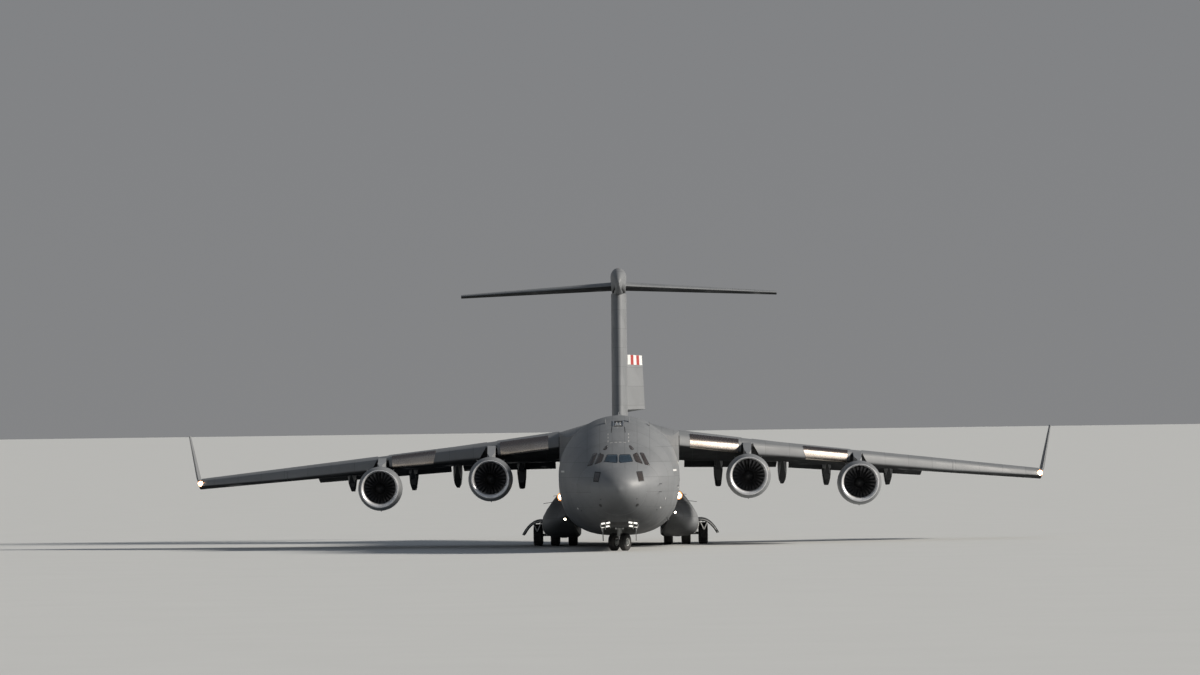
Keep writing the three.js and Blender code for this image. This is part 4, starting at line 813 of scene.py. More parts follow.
class MixFinishes(bpy.types.Operator):
    """Makes the paints, metals, rubber and glass."""

    bl_idname = "aeroplane.mix_finishes"
    bl_label = "Mix finishes"
    bl_options = {"REGISTER", "UNDO"}

    def execute(self, context):
        colours = context.scene.aeroplane_paint
        skin = tuple(colours.skin)
        fuselage_paint("hull_paint", skin)
        radome_paint("radome_paint", tuple(colours.radome))
        wing_paint("wing_paint", skin, (1.35, 2.6, 4.1))
        # The flaps' painted shade starts on faces that tilt up a little, and is full on level and downward
        # faces.
        wing_paint("flap_paint", skin, (1.35, 2.6, 4.1), above=0.35, below=0.05)
        wing_paint("tailplane_paint", skin, (0.7, 2.1))
        fin_paint("fin_paint", skin)
        plain_paint("cowl_paint", skin, 0.48, wear=0.35)
        plain_paint("trim_paint", skin, 0.5)
        # Near black: the real colour of the static wicks, and painted shade on the plates in slots, recesses,
        # wheel holes and behind the nose lamps.
        plain_paint("dark_paint", (0.012, 0.012, 0.013), 0.7)
        # Near black inside the engines: partly the dark lining, partly painted shade of the deep inlet.
        plain_paint("duct_paint", (0.008, 0.008, 0.009), 0.7)
        plain_paint("seam_paint", (0.07, 0.073, 0.077), 0.6)
        plain_paint("pylon_paint", shade(skin, 1.25), 0.42, wear=0.15)
        plain_paint("gear_paint", tuple(colours.gear), 0.35, wear=0.7)
        plain_paint("bay_paint", (0.16, 0.165, 0.16), 0.6, wear=0.8)
        plain_paint("white_paint", (0.72, 0.72, 0.7), 0.45, wear=0.35)
        plain_paint("faded_paint", (0.45, 0.45, 0.44), 0.5, wear=0.5)
        plain_paint("red_paint", tuple(colours.signal_red), 0.45, wear=0.3)
        plain_paint("seal_paint", (0.02, 0.021, 0.022), 0.65)
        plain_paint("fabric_blue", (0.03, 0.04, 0.06), 0.9)
        worn_floor("cabin_paint", tuple(colours.cabin), 0.6)
        worn_floor("floor_metal", (0.2, 0.205, 0.2), 0.45)
        bare_metal("bright_metal", (0.78, 0.78, 0.77), 0.2)
        bright_lip("lip_metal", (0.93, 0.93, 0.94))
        polished_metal("slat_metal", (0.62, 0.56, 0.5))
        # Near-black fan blades: partly dark metal, partly painted shade of the inlet.
        bare_metal("fan_metal", (0.03, 0.031, 0.035), 0.45)
        bare_metal("steel", (0.34, 0.34, 0.34), 0.32)
        scorched_metal("core_metal", (0.36, 0.34, 0.31))
        rubber("tyre_rubber", (0.016, 0.016, 0.017))
        glass("windscreen_glass", tuple(colours.windscreen), 0.35)
        glass("side_glass", (0.075, 0.062, 0.055), 0.35)
        glass("lens_glass", (0.6, 0.62, 0.64), 0.7)
        lights = context.scene.aeroplane_lights
        lamp("lit_lamp", tuple(lights.lamp_colour), lights.lamp_strength)
        # An orange glow on the rings round the lit lenses: painted light.
        lamp("lamp_halo", (1.0, 0.42, 0.14), 1.3)
        lamp("taxi_lamp", (1.0, 0.97, 0.9), 1.1)
        lamp("red_beacon", (0.5, 0.03, 0.02), 0.4)
        return {"FINISHED"}


NODE_MERGE = 1e-5
NODE_SMOOTH_ANGLE = math.radians(28)
# columns: start of a node's name, finish
NODE_FINISHES = [
    ("radome", "radome_paint"),
    ("flight_deck_glazing", "windscreen_glass"),
    ("flight_deck", "cabin_paint"),
    ("cargo_floor", "floor_metal"),
    ("main_wheels", "tyre_rubber"),
    ("nose_wheels", "tyre_rubber"),
    ("main_gear_leg", "gear_paint"),
    ("nose_gear_leg", "gear_paint"),
    ("nose_gear_fork", "gear_paint"),
    ("main_gear_doors", "trim_paint"),
    ("nose_gear_door", "trim_paint"),
    ("fan", "fan_metal"),
    ("nacelle", "cowl_paint"),
    ("fin", "fin_paint"),
    ("rudder", "fin_paint"),
    ("tailplane", "tailplane_paint"),
    ("elevator", "tailplane_paint"),
    ("wing_fairing", "hull_paint"),
    ("wing", "wing_paint"),
    ("aileron", "wing_paint"),
    ("flap", "flap_paint"),
    ("pylon", "pylon_paint"),
    ("", "hull_paint"),
]


class DressFrame(bpy.types.Operator):
    """Paints the frame's own nodes and smooths their shading."""

    bl_idname = "aeroplane.dress_frame"
    bl_label = "Dress frame"
    bl_options = {"REGISTER", "UNDO"}

    def execute(self, context):
        for name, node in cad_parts.items():
            finish = next(f for start, f in NODE_FINISHES if name.startswith(start))
            node.data.materials.clear()
            node.data.materials.append(bpy.data.materials[finish])
            node.data.polygons.foreach_set("use_smooth", [True] * len(node.data.polygons))
            weld = node.modifiers.new("Weld", "WELD")
            weld.merge_threshold = NODE_MERGE
            split = node.modifiers.new("Edges", "EDGE_SPLIT")
            split.split_angle = NODE_SMOOTH_ANGLE
        return {"FINISHED"}


# Fuselage

# Flight-deck windows, as seen from ahead: finish, then (lateral, height) corners on the left half
WINDOWS = [
    ("windscreen_glass", [[0.045, 5.42], [0.66, 5.42], [0.82, 5.0], [0.045, 4.93]]),
    ("side_glass", [[0.78, 5.41], [1.07, 5.49], [1.37, 4.85], [0.93, 5.0]]),
    ("side_glass", [[1.16, 5.51], [1.4, 5.5], [1.76, 4.76], [1.46, 4.82]]),
    ("side_glass", [[0.56, 5.9], [0.68, 5.92], [0.9, 5.68], [0.69, 5.64]]),
]
# Window low on the cheek, across the edge of the nose cone
CHEEK_WINDOW = [[0.98, 4.46], [1.32, 4.48], [1.42, 3.92], [1.12, 3.9]]
RADOME_RINGS = [0.0, 0.02, 0.05, 0.09, 0.14, 0.2, 0.28, 0.37, 0.48, 0.6, 0.74, 0.9]
CREW_DOOR = {"front": 6.35, "back": 7.25, "sill": 1.75, "head": 3.55}
CREW_HINGES = (6.55, 7.05)
NOSE_BAY = {"half_width": 0.95, "front": 2.9, "back": 6.1, "roof": 2.3}
PARATROOP_DOOR = [[32.9, 2.35], [33.8, 2.35], [33.8, 4.25], [32.9, 4.25]]


def hull_skin(stations, settings, front_cap=False, back_cap=False):
    """The outer surface of the fuselage between two stations, with its faces pointing outwards."""
    sides = settings.sides
    rings = [[hull_point(s, 2 * math.pi * (k + 0.5) / sides) for k in range(sides)] for s in stations]
    bm = bmesh.new()
    loft(bm, rings, capped=False)
    for wanted, station in ((front_cap, stations[0]), (back_cap, stations[-1])):
        if wanted:
            level = place(0, station, 0).y
            rim = [e for e in bm.edges if e.is_boundary and all(abs(v.co.y - level) < MERGE for v in e.verts)]
            bmesh.ops.edgeloop_fill(bm, edges=rim)
    bmesh.ops.recalc_face_normals(bm, faces=bm.faces)
    middle = place(0, (stations[0] + stations[-1]) / 2, 4)
    if sum(f.normal.dot(f.calc_center_median() - middle) * f.calc_area() for f in bm.faces) < 0:
        bmesh.ops.reverse_faces(bm, faces=bm.faces)
    return bm


def give_wall(made, thickness, lining=1):
    """Thickens a surface inwards; its inner faces take the finish that is lining places further on."""
    wall = made.modifiers.new("Wall", "SOLIDIFY")
    wall.thickness = thickness * SCALE
    wall.offset = -1
    wall.material_offset = lining


def skin_piece(name, bm, settings, replaces, body="airframe"):
    """A skin of the fuselage with its wall, painted outside and lined inside."""
    finishes = ["hull_paint", "cabin_paint", "seal_paint", "seal_paint"]
    made = shown(name, bm, finishes, replaces, body, closed=False)
    give_wall(made, settings.thickness)


def groove(bm, faces, width):
    """Lays a narrow dark line inside the outline of some faces."""
    rim = bmesh.ops.inset_region(
        bm, faces=faces, thickness=width * SCALE, depth=0, use_even_offset=True, use_boundary=True
    )["faces"]
    for face in rim:
        face.material_index = 2
    return rim


def build_radome(settings):
    stations = [*RADOME_RINGS, RADOME_END - SEAM_RING, RADOME_END + FACE_GAP]
    skin = hull_skin(stations, settings, front_cap=True)
    finishes = ["radome_paint", "cabin_paint"]
    made = shown("radome_skin", skin, finishes, ["radome"], closed=False)
    give_wall(made, 0.04)


def build_centre(settings):
    stations = [NOSE_END + FACE_GAP, NOSE_END + SEAM_RING]
    stations += [*spread(9.4, CENTRE_END - SEAM_RING, 1.0), CENTRE_END]
    skin_piece("centre_skin", hull_skin(stations, settings), settings, ["centre_section"])


def build_nose(settings):
    stations = [RADOME_END, RADOME_END + SEAM_RING, *spread(1.2, 5.0, 0.16)]
    stations += [*spread(5.3, NOSE_END - SEAM_RING, settings.pitch), NOSE_END]
    skin = hull_skin(stations, settings)
    panes = cut_windows(skin, settings)
    build_cheek_windows()
    for name, finish, replaces in (
        ("windscreen", "windscreen_glass", ["flight_deck_glazing"]),
        ("side_windows", "side_glass", []),
    ):
        made = shown(name, panes[finish], finish, replaces, closed=False)
        give_wall(made, 0.03, lining=0)
    cut_nose_bay(skin)
    door = cut_crew_door(skin)
    skin_piece("nose_skin", skin, settings, ["nose_section"])
    skin_piece("crew_door_skin", door, settings, ["crew_door"], "crew_door")


def cut_windows(skin, settings):
    """Takes the flight deck's panes out of the skin, and lays a seal round each."""
    panes = {"windscreen_glass": bmesh.new(), "side_glass": bmesh.new()}
    for side in (1, -1):
        for finish, outline in WINDOWS:
            corners = clipped([[side * x, z] for x, z in outline], 0.05)
            xs, zs = [c[0] for c in corners], [c[1] for c in corners]
            bounds = ((min(xs) - 0.15, 1.1, min(zs) - 0.15), (max(xs) + 0.15, 4.8, max(zs) + 0.15))
            opening = carve(skin, front_planes(corners), bounds)
            rim = groove(skin, opening, settings.seal)
            inside = [f for f in opening if f.is_valid and f not in set(rim)]
            add_mesh(panes[finish], split_off(skin, inside))
    return panes


def cut_nose_bay(skin):
    half, front, back = (NOSE_BAY[k] for k in ("half_width", "front", "back"))
    planes = [(place(half, 0, 0), LEFT), (place(-half, 0, 0), -LEFT)]
    planes += [(place(0, front, 0), AHEAD), (place(0, back, 0), AFT)]
    cut_out(skin, carve(skin, planes, ((-1.4, 2.4, 0), (1.4, 6.6, 2.2))))


def cut_crew_door(skin):
    """Takes the crew door out of the skin, with a gap round it."""
    front, back, sill, head = (CREW_DOOR[k] for k in ("front", "back", "sill", "head"))
    bounds = ((1.6, front - 0.4, sill - 0.4), (4, back + 0.4, head + 0.4))

    def doorway(gap):
        low, high = (sill - gap, head + gap)
        ahead, behind = (front - gap, back + gap)
        return side_planes([[ahead, low], [behind, low], [behind, high], [ahead, high]])

    carve(skin, doorway(MOVING_GAP), bounds)
    door = split_off(skin, carve(skin, doorway(0), bounds))
    cut_out(skin, carve(skin, doorway(MOVING_GAP), bounds))
    return door


def build_cheek_windows():
    """Panes and their seals on the cheeks, where the skin has no opening."""
    seals, panes = bmesh.new(), bmesh.new()
    (ax, az), (bx, bz), (cx, cz), (dx, dz) = CHEEK_WINDOW
    for side in (1, -1):
        for bm, grow, lift in ((seals, 0.0, 0.012), (panes, 0.1, 0.018)):

            def surface(u, v, height, side=side, grow=grow):
                u, v = grow + (1 - 2 * grow) * u, grow + (1 - 2 * grow) * v
                lateral = (ax + (bx - ax) * u) * v + (dx + (cx - dx) * u) * (1 - v)
                level = (az + (bz - az) * u) * v + (dz + (cz - dz) * u) * (1 - v)
                return hull_front(side * lateral, level, height)

            slab(bm, surface, 6, 8, -0.02, lift)
    shown("cheek_window_seals", seals, "seal_paint")
    shown("cheek_windows", panes, "side_glass")


def build_aft(settings):
    stations = [CENTRE_END + FACE_GAP, CENTRE_END + SEAM_RING]
    stations += [*spread(30.0, 47.4, 0.7), *spread(47.6, TAIL_END, 0.2)]
    skin = hull_skin(stations, settings, back_cap=True)
    for side in (1, -1):
        bounds = ((min(side * 2.5, side * 4), 32.5, 2.0), (max(side * 2.5, side * 4), 34.2, 4.6))
        groove(skin, carve(skin, side_planes(PARATROOP_DOOR), bounds), 0.022)
    cut_out(skin, carve(skin, ramp_planes(MOVING_GAP), ((-2.9, 29.51, 0), (2.9, 38, 3.65))))
    cut_out(skin, carve(skin, door_planes(MOVING_GAP), ((-2.9, 34.4, 0), (2.9, 42, 4.85))))
    skin_piece("aft_skin", skin, settings, ["aft_section"])


class BuildFuselage(bpy.types.Operator):
    """Builds the smooth fuselage skins with their windows and doors."""

    bl_idname = "aeroplane.build_fuselage"
    bl_label = "Build fuselage"
    bl_options = {"REGISTER", "UNDO"}

    def execute(self, context):
        settings = context.scene.aeroplane_skin
        build_radome(settings)
        build_nose(settings)
        build_centre(settings)
        build_aft(settings)
        return {"FINISHED"}


RAMP = {"front": 29.9, "lip_low": 36.9, "lip_high": 35.0, "height": 3.7, "half_width": 2.42}
RAMP_FRONT_GAP = 0.036
CARGO_DOOR = {"front": 34.5, "back": 41.3, "front_half_width": 2.42, "back_half_width": 1.6}
# The lip where ramp and door meet leans this far aft for each metre down
LEAN = (RAMP["lip_low"] - RAMP["lip_high"]) / RAMP["height"]


def ramp_planes(gap):
    half = RAMP["half_width"] + gap
    back = Vector((0, 1, LEAN)).normalized()
    return [
        (place(half, 0, 0), LEFT),
        (place(-half, 0, 0), -LEFT),
        (place(0, RAMP["front"] - RAMP_FRONT_GAP, 0), AHEAD),
        (place(0, RAMP["lip_low"] + gap, 0), back),
    ]


def door_planes(gap):
    front = RAMP["lip_low"] + 2 * MOVING_GAP - 1.5 * gap
    end = CARGO_DOOR["back"] + 2 * gap
    wide, narrow = CARGO_DOOR["front_half_width"] + gap, CARGO_DOOR["back_half_width"] + gap
    planes = [(place(0, front, 0), -Vector((0, 1, LEAN)).normalized()), (place(0, end, 0), AFT)]
    for side in (1, -1):
        normal = Vector((side * (end - CARGO_DOOR["front"]), wide - narrow, 0)).normalized()
        planes.append((place(side * wide, CARGO_DOOR["front"], 0), normal))
    return planes


def hinge_eye(bm, point, axis, foot, width, eye):
    """A hinge's eye on its arm."""
    rod(bm, point - axis * width / 2 * SCALE, point + axis * width / 2 * SCALE, eye, 16)
    along = foot - point
    up = axis.cross(along).normalized()
    turn = Matrix((axis, along.normalized(), up)).transposed().to_4x4()
    box(bm, (point + foot) / 2, (width, along.length / SCALE, eye * 1.5), turn, 0.01)


def build_airstair():
    """Steps and rails on the inner face of the crew door, and its hinge arms."""
    bm = bmesh.new()
    for station in CREW_HINGES:
        for way in (-1, 1):
            beside = station + way * 0.081
            rod(bm, place(2.78, beside, 1.7), place(2.66, beside, 1.88), 0.03, 8)
        rod(bm, place(2.76, station - 0.12, 1.72), place(2.76, station + 0.12, 1.72), 0.02, 10)
    shown("crew_door_arms", bm, "steel", body="crew_door")
    steps = bmesh.new()
    for k in range(6):
        height = 2.0 + 0.26 * k
        outer = hull_side(6.8, height, 1, -0.14)
        box(steps, outer + Vector((-0.06, 0, 0)), (0.2, 0.62, 0.035), bevel=0.008)
    for station in (6.46, 7.14):
        for low, high in pairwise([1.95 + 0.3 * k for k in range(6)]):
            rod(steps, hull_side(station, low, 1, -0.16), hull_side(station, high, 1, -0.16), 0.025, 8)
    shown("airstair", steps, "floor_metal", body="crew_door")


def build_nose_bay():
    """Walls and roof of the bay that the nose gear folds into."""
    bm = bmesh.new()
    half, front, back, roof = (NOSE_BAY[k] for k in ("half_width", "front", "back", "roof"))
    wall = 0.06
    middle = (front + back) / 2
    box(bm, place(0, middle, roof + wall / 2), (2 * half + 2 * wall, back - front + 2 * wall, wall))
    for station, low in ((front - wall / 2, 1.36), (back + wall / 2, 0.95)):
        box(bm, place(0, station, (roof + low) / 2), (2 * half + 2 * wall, wall, roof - low))
    for side in (1, -1):
        x = side * (half + wall / 2)
        rings = []
        for station, low in ((front, 1.46), (3.5, 1.32), (4.2, 1.2), (5.0, 1.1), (back, 1.02)):
            corners = [(-wall / 2, low), (wall / 2, low), (wall / 2, roof), (-wall / 2, roof)]
            rings.append([place(x + w, station, z) for w, z in corners])
        loft(bm, rings)
        for k in range(5):
            rib = front + 0.5 + k * 0.6
            box(bm, place(side * (half - 0.03), rib, 1.78), (0.06, 0.05, 0.95), bevel=0.008)
    for k in range(4):
        box(bm, place(0, front + 0.4 + k * 0.75, roof - 0.04), (2 * half, 0.06, 0.08), bevel=0.01)
    rod(bm, place(-0.6, front, 2.1), place(-0.6, back, 2.1), 0.02, 8)
    rod(bm, place(0.55, front, 2.05), place(0.55, back, 2.05), 0.03, 8)
    shown("nose_bay_walls", bm, "bay_paint")


class BuildDoorFittings(bpy.types.Operator):
    """Builds the hinge eyes of the doors and the ramp, the airstair and the walls of the nose gear's bay."""

    bl_idname = "aeroplane.build_door_fittings"
    bl_label = "Build door fittings"
    bl_options = {"REGISTER", "UNDO"}

    def execute(self, context):
        bm = bmesh.new()
        for station in CREW_HINGES:
            hinge_eye(bm, place(2.76, station, 1.72), AFT, place(2.38, station, 1.57), 0.08, 0.045)
        for lateral in (-0.9, 0.9):
            hinge_eye(bm, place(lateral, 29.98, 0.94), LEFT, place(lateral, 29.7, 0.94), 0.16, 0.085)
        for lateral in (-0.7, 0.7):
            hinge_eye(bm, place(lateral, 41.18, 4.34), LEFT, place(lateral, 41.62, 4.14), 0.14, 0.08)
        shown("door_hinge_eyes", bm, "steel")
        build_airstair()
        build_nose_bay()
        return {"FINISHED"}


# Wing centre fairing
# columns: station, half width, share of the full bulge over the crown
FAIRING = [
    [12.6, 1.3, 0.0],
    [14.4, 2.5, 0.25],
    [16.2, 3.2, 0.8],
    [17.4, 3.455, 1.0],
    [28.6, 3.455, 1.0],
    [30.4, 3.2, 0.8],
    [32.4, 2.4, 0.25],
    [34.2, 1.2, 0.0],
]
FAIRING_FOOT = 4.9
FAIRING_HALF_WIDTH = 3.455
FAIRING_SUNK = 0.4  # how far its lower edge lies under the crown at its ends
FAIRING_TUCK = 0.05  # how far its skin lies under the crown at its ends
# columns: share of the half width, height of the full section
FAIRING_SHOULDER = [
    [0, 7.67], [0.17, 7.63], [0.34, 7.54], [0.5, 7.36], [0.61, 7.13], [0.69, 6.93], [0.76, 6.81],
    [0.86, 6.75], [0.96, 6.7], [1, 6.66],
]


class BuildFairing(bpy.types.Operator):
    """Builds the smooth fairing over the wing's centre."""

    bl_idname = "aeroplane.build_fairing"
    bl_label = "Build wing fairing"
    bl_options = {"REGISTER", "UNDO"}

    def execute(self, context):
        _, crown_half, crown_top, _, crown_middle, _ = between(HULL, 20)

        def crown_height(lateral):
            share = math.sqrt(1 - min(1, lateral / crown_half) ** 2)
            return crown_middle + (crown_top - crown_middle) * share

        shares = [1, 0.98, *spread(0.96, 0, 0.06)]
        rings = []
        for station in [*spread(12.6, 17.4, 0.3), *spread(18.6, 27.4, 1.2), *spread(28.6, 34.2, 0.3)]:
            _, half, bulge = between(FAIRING, station)
            line = []
            for lateral in (share * half for share in shares):
                low = crown_height(lateral)
                full = between(FAIRING_SHOULDER, lateral / FAIRING_HALF_WIDTH)[1]
                line.append([lateral, low + bulge * (full - low) - FAIRING_TUCK * (1 - bulge)])
            foot = FAIRING_FOOT * bulge + (crown_height(half) - FAIRING_SUNK) * (1 - bulge)
            line = [[half, foot], [half, (foot + line[0][1]) / 2], *line]
            ring = line + [[-x, z] for x, z in reversed(line[:-1])]
            rings.append([place(x, station, z) for x, z in ring])
        bm = loft(bmesh.new(), rings)
        shown("fairing_skin", bm, "hull_paint", ["wing_fairing"])
        return {"FINISHED"}


# Wing
# Each slat's ends lean, so they have a lateral above and one below; the depth is how far its lip hangs
# below the leading edge
# columns: inner above, inner below, outer above, outer below, inner depth, outer depth
SLATS = [
    [3.5, 3.5, 7.14, 7.08, 0.44, 0.52],
    [7.74, 8.12, 13.58, 13.5, 0.6, 0.5],
    [14.24, 14.56, 19.7, 19.7, 0.56, 0.5],
    [19.715, 19.715, 24.98, 24.98, 0.5, 0.3],
]
SLAT_BACK = 0.38  # square root of the chord share at the slat's upper edge
# A slat's nose and lip; columns: distance aft of the leading edge in metres, share of the depth below it
SLAT_NOSE = [
    [-0.06, -0.02], [-0.1, 0.22], [-0.13, 0.46], [-0.145, 0.68], [-0.13, 0.85], [-0.08, 0.96], [0.02, 1.0],
    [0.2, 0.99], [0.5, 0.96],
]
METAL_NOSE = SLAT_NOSE[:6]  # the bare metal ends above the lip
# The slat's back lies inside the wing at these places of its outline, as t of wing_point()
SLAT_WELL = [-0.3, -0.2, -0.12, -0.05, 0.05, 0.14, 0.24, 0.34]
SLAT_PROUD = 0.03
SLAT_STEPS = 14
# columns: inner and outer lateral of the bare metal on the slats
POLISHED = [[4.12, 6.96], [10.75, 13.4]]
# Laterals of the near-black plates of painted shade in the slots beside the pylons
PYLON_SLOT_SHADES = [(7.3, 8.2), (13.7, 14.6)]
SPOILERS = [(3.95, 5.75), (5.8, 7.6), (7.65, 9.3), (10.1, 12.1), (12.15, 14.1), (14.15, 16.0), (16.05, 17.9)]
SPOILER_FRONT, SPOILER_BACK = math.sqrt(0.575), math.sqrt(0.672)


def wing_patch(side, inner, outer, low_t, high_t):
    """The surface of a patch of the wing for slab()."""

    def surface(u, v, lift):
        return wing_point(inner + (outer - inner) * u, low_t + (high_t - low_t) * v, lift, side)

    return surface


def slat_nose_point(lateral, aft, share, depth, lift, side):
    """A point of a slat's nose: the distance aft of the leading edge, the share of its depth below it."""
    _, station, height, *_ = section_at(WING, lateral)
    return place(side * lateral, station + aft - lift, height - share * depth)


def slat_loft(bm, row, side, first=0.0, last=1.0, grow=0.0, from_t=SLAT_BACK, metal=False):
    """A slat between two shares of its span: skin over the wing, a hanging nose and a lip under it."""
    inner_above, inner_below, outer_above, outer_below, inner_depth, outer_depth = row
    nose = curve_through(METAL_NOSE if metal else SLAT_NOSE, 3)
    rings = []
    for k in range(SLAT_STEPS + 1):
        share = first + (last - first) * k / SLAT_STEPS
        above = inner_above + (outer_above - inner_above) * share
        below = inner_below + (outer_below - inner_below) * share
        depth = inner_depth + (outer_depth - inner_depth) * share

        def slanted(level, above=above, below=below):
            return above + (below - above) * min(1, max(0, level))

        def nose_line(points, lift, slanted=slanted, depth=depth):
            return [slat_nose_point(slanted(0.25 + low), aft, low, depth, lift, side) for aft, low in points]

        ring = [wing_point(slanted(0.25 - t), t, SLAT_PROUD + grow, side) for t in spread(from_t, 0.08, 0.03)]
        ring += nose_line(nose, grow)
        if metal:
            ring += nose_line(reversed(nose), -SLAT_PROUD)
            ring += [wing_point(slanted(0.25 - t), t, 0.0, side) for t in spread(0.08, from_t, 0.03)]
        else:
            ring += [wing_point(slanted(0.5), t, -0.02, side) for t in SLAT_WELL]
        rings.append(ring)
    return loft(bm, rings)


class BuildWings(bpy.types.Operator):
    """Builds slats, spoilers, bare leading edges, and near-black plates of painted shade in the recesses at
    the roots and the slots at the pylons.
    """

    bl_idname = "aeroplane.build_wings"
    bl_label = "Build wing details"
    bl_options = {"REGISTER", "UNDO"}

    def execute(self, context):
        for name, side in SIDES.items():
            slats, slot_shades, metal, spoilers, recess_shade = (bmesh.new() for _ in range(5))
            for row in SLATS:
                slat_loft(slats, row, side)
            for row, (inner, outer) in zip(SLATS, POLISHED):
                span = row[2] - row[0]
                first, last = (inner - row[0]) / span, (outer - row[0]) / span
                slat_loft(metal, row, side, first, min(last, 0.985), 0.008, 0.2, metal=True)
            # Near-black plates in the slots by the pylons: painted shade.
            for inner, outer in PYLON_SLOT_SHADES:
                slab(slot_shades, wing_patch(side, inner, outer, -0.34, 0.06), 6, 14, -0.01, 0.01)
            for inner, outer in SPOILERS:
                patch = wing_patch(side, inner, outer, SPOILER_FRONT, SPOILER_BACK)
                slab(spoilers, patch, 6, 4, -0.02, 0.014)

            # A near-black plate at the wing's root, ahead of the slat's inner end: painted shade of the
            # recess.
            def root_recess_shade(u, v, lift, side=side):
                return place(side * (3.24 + 0.24 * u), 17.16 + 0.2 * u - lift, 5.4 + 1.0 * v)

            slab(recess_shade, root_recess_shade, 8, 8, -0.02, 0.012)
            shown(f"slats_{name}", slats, "wing_paint")
            shown(f"slat_slot_shades_{name}", slot_shades, "dark_paint")
            shown(f"leading_edge_metal_{name}", metal, "slat_metal")
            shown(f"spoilers_{name}", spoilers, "wing_paint")
            shown(f"root_recess_shade_{name}", recess_shade, "dark_paint")
        return {"FINISHED"}


# Engines
# columns: lateral, inlet's station, height of the centre
ENGINES = {"inboard": (7.44, 15.2, 4.02), "outboard": (13.95, 18.65, 3.52)}
# columns of the next tables: distance behind the inlet, radius
COWL = [
    [0.014, 1.1], [0.05, 1.138], [0.12, 1.17], [0.22, 1.2], [0.36, 1.228], [0.6, 1.258], [1.2, 1.28],
    [1.8, 1.278], [2.6, 1.232], [3.2, 1.165], [3.7, 1.08], [4.15, 0.98],
]
DUCT = [
    [4.14, 0.955], [3.4, 0.99], [2.6, 1.04], [1.6, 1.02], [1.15, 0.99], [0.95, 0.985], [0.7, 0.955],
    [0.365, 0.928],
]
LIP = [[0.36, 0.925], [0.22, 0.938], [0.1, 0.968], [0.03, 1.01], [0.0, 1.055], [0.012, 1.098]]
LIP_BACK = [[0.03, 1.09], [0.35, 0.94]]
CORE = [
    [1.62, 0.44], [1.8, 0.52], [2.3, 0.63], [2.8, 0.69], [3.4, 0.68], [4.15, 0.62], [4.6, 0.54], [5.0, 0.46],
]
CORE_INSIDE = [[5.0, 0.43], [4.4, 0.44], [1.62, 0.3]]
PLUG = [[4.4, 0.36], [4.7, 0.34], [5.05, 0.28], [5.4, 0.17], [5.6, 0.09], [5.72, 0.045], [5.74, 0.0]]
SPINNER = [
    [0.52, 0.0], [0.53, 0.045], [0.57, 0.1], [0.66, 0.175], [0.78, 0.245], [0.9, 0.3], [1.02, 0.335],
    [1.25, 0.35],
]
VANE_HUB = [[1.3, 0.0], [1.3, 0.4], [1.62, 0.44], [1.62, 0.0]]
COWL_SEAMS = (1.22, 2.45, 3.3)
THROAT_RISE = 0.06  # the lower lip is thicker than the upper one, so the throat sits this much high
BLADE_ROOT, BLADE_TIP = 0.33, 0.945


def build_nacelle(name, centre, steps):
    """Cowl with its duct, inlet lip, and core with the plug in its nozzle."""
    cowl = lathe(bmesh.new(), [*curve_through(COWL, 4), *DUCT], centre, AFT, steps, closed=True)
    bmesh.ops.remove_doubles(cowl, verts=cowl.verts, dist=MERGE)
    bmesh.ops.recalc_face_normals(cowl, faces=cowl.faces)
    for face in cowl.faces:
        middle = face.calc_center_median() - centre
        face.material_index = 1 if face.normal.x * middle.x + face.normal.z * middle.z < 0 else 0
    raise_throat(cowl, centre)
    finishes = ["cowl_paint", "duct_paint"]
    shown(f"cowl_{name}", cowl, finishes, [f"nacelle_{name}"])
    lip = lathe(bmesh.new(), [*curve_through(LIP, 4), *LIP_BACK], centre, AFT, steps, closed=True)
    raise_throat(lip, centre)
    shown(f"inlet_lip_{name}", lip, "lip_metal")
    core = lathe(bmesh.new(), [*curve_through(CORE, 3), *CORE_INSIDE], centre, AFT, 48, closed=True)
    lathe(core, PLUG, centre, AFT, 48)
    lathe(core, [[4.4, 0.44], [4.4, 0.0]], centre, AFT, 48)
    shown(f"core_{name}", core, "core_metal")


def build_vanes(name, centre, count):
    vanes = bmesh.new()
    for k in range(count):
        angle = 2 * math.pi * k / count
        turn = Matrix.Rotation(angle, 4, "Y") @ Matrix.Rotation(math.radians(12), 4, "Z")
        middle = centre + Matrix.Rotation(angle, 3, "Y") @ Vector((0, 1.9 * SCALE, 0.78 * SCALE))
        box(vanes, middle, (0.022, 0.34, 0.5), turn, 0.006)
    lathe(vanes, VANE_HUB, centre, AFT, 40)
    shown(f"guide_vanes_{name}", vanes, "duct_paint")


def build_cowl_fittings(name, centre, steps):
    """Strakes, the drain mast and raised bands over the cowl's seams."""
    fittings = bmesh.new()
    for angle in (-0.62, 0.62):
        middle = centre + Vector((math.sin(angle) * 1.29, 1.5, math.cos(angle) * 1.29)) * SCALE
        box(fittings, middle, (0.02, 0.55, 0.14), Matrix.Rotation(angle, 4, "Y"), 0.004)
    box(fittings, centre + Vector((0, 2.3, -1.29)) * SCALE, (0.05, 0.26, 0.1), bevel=0.015)
    for seam in COWL_SEAMS:
        radius = between(COWL, seam)[1]
        section = band(seam - 0.012, seam + 0.012, radius - 0.02, radius + 0.006)
        lathe(fittings, section, centre, AFT, steps, closed=True)
    shown(f"cowl_fittings_{name}", fittings, "cowl_paint")


def raise_throat(bm, centre):
    """Raises the inside of the inlet, less and less towards the fan."""
    for vert in bm.verts:
        aft = (vert.co.y - centre.y) / SCALE
        radius = math.hypot(vert.co.x - centre.x, vert.co.z - centre.z) / SCALE
        inside = min(1, max(0, (1.07 - radius) / 0.1)) * min(1, max(0, (0.95 - aft) / 0.45))
        vert.co.z += THROAT_RISE * inside * SCALE


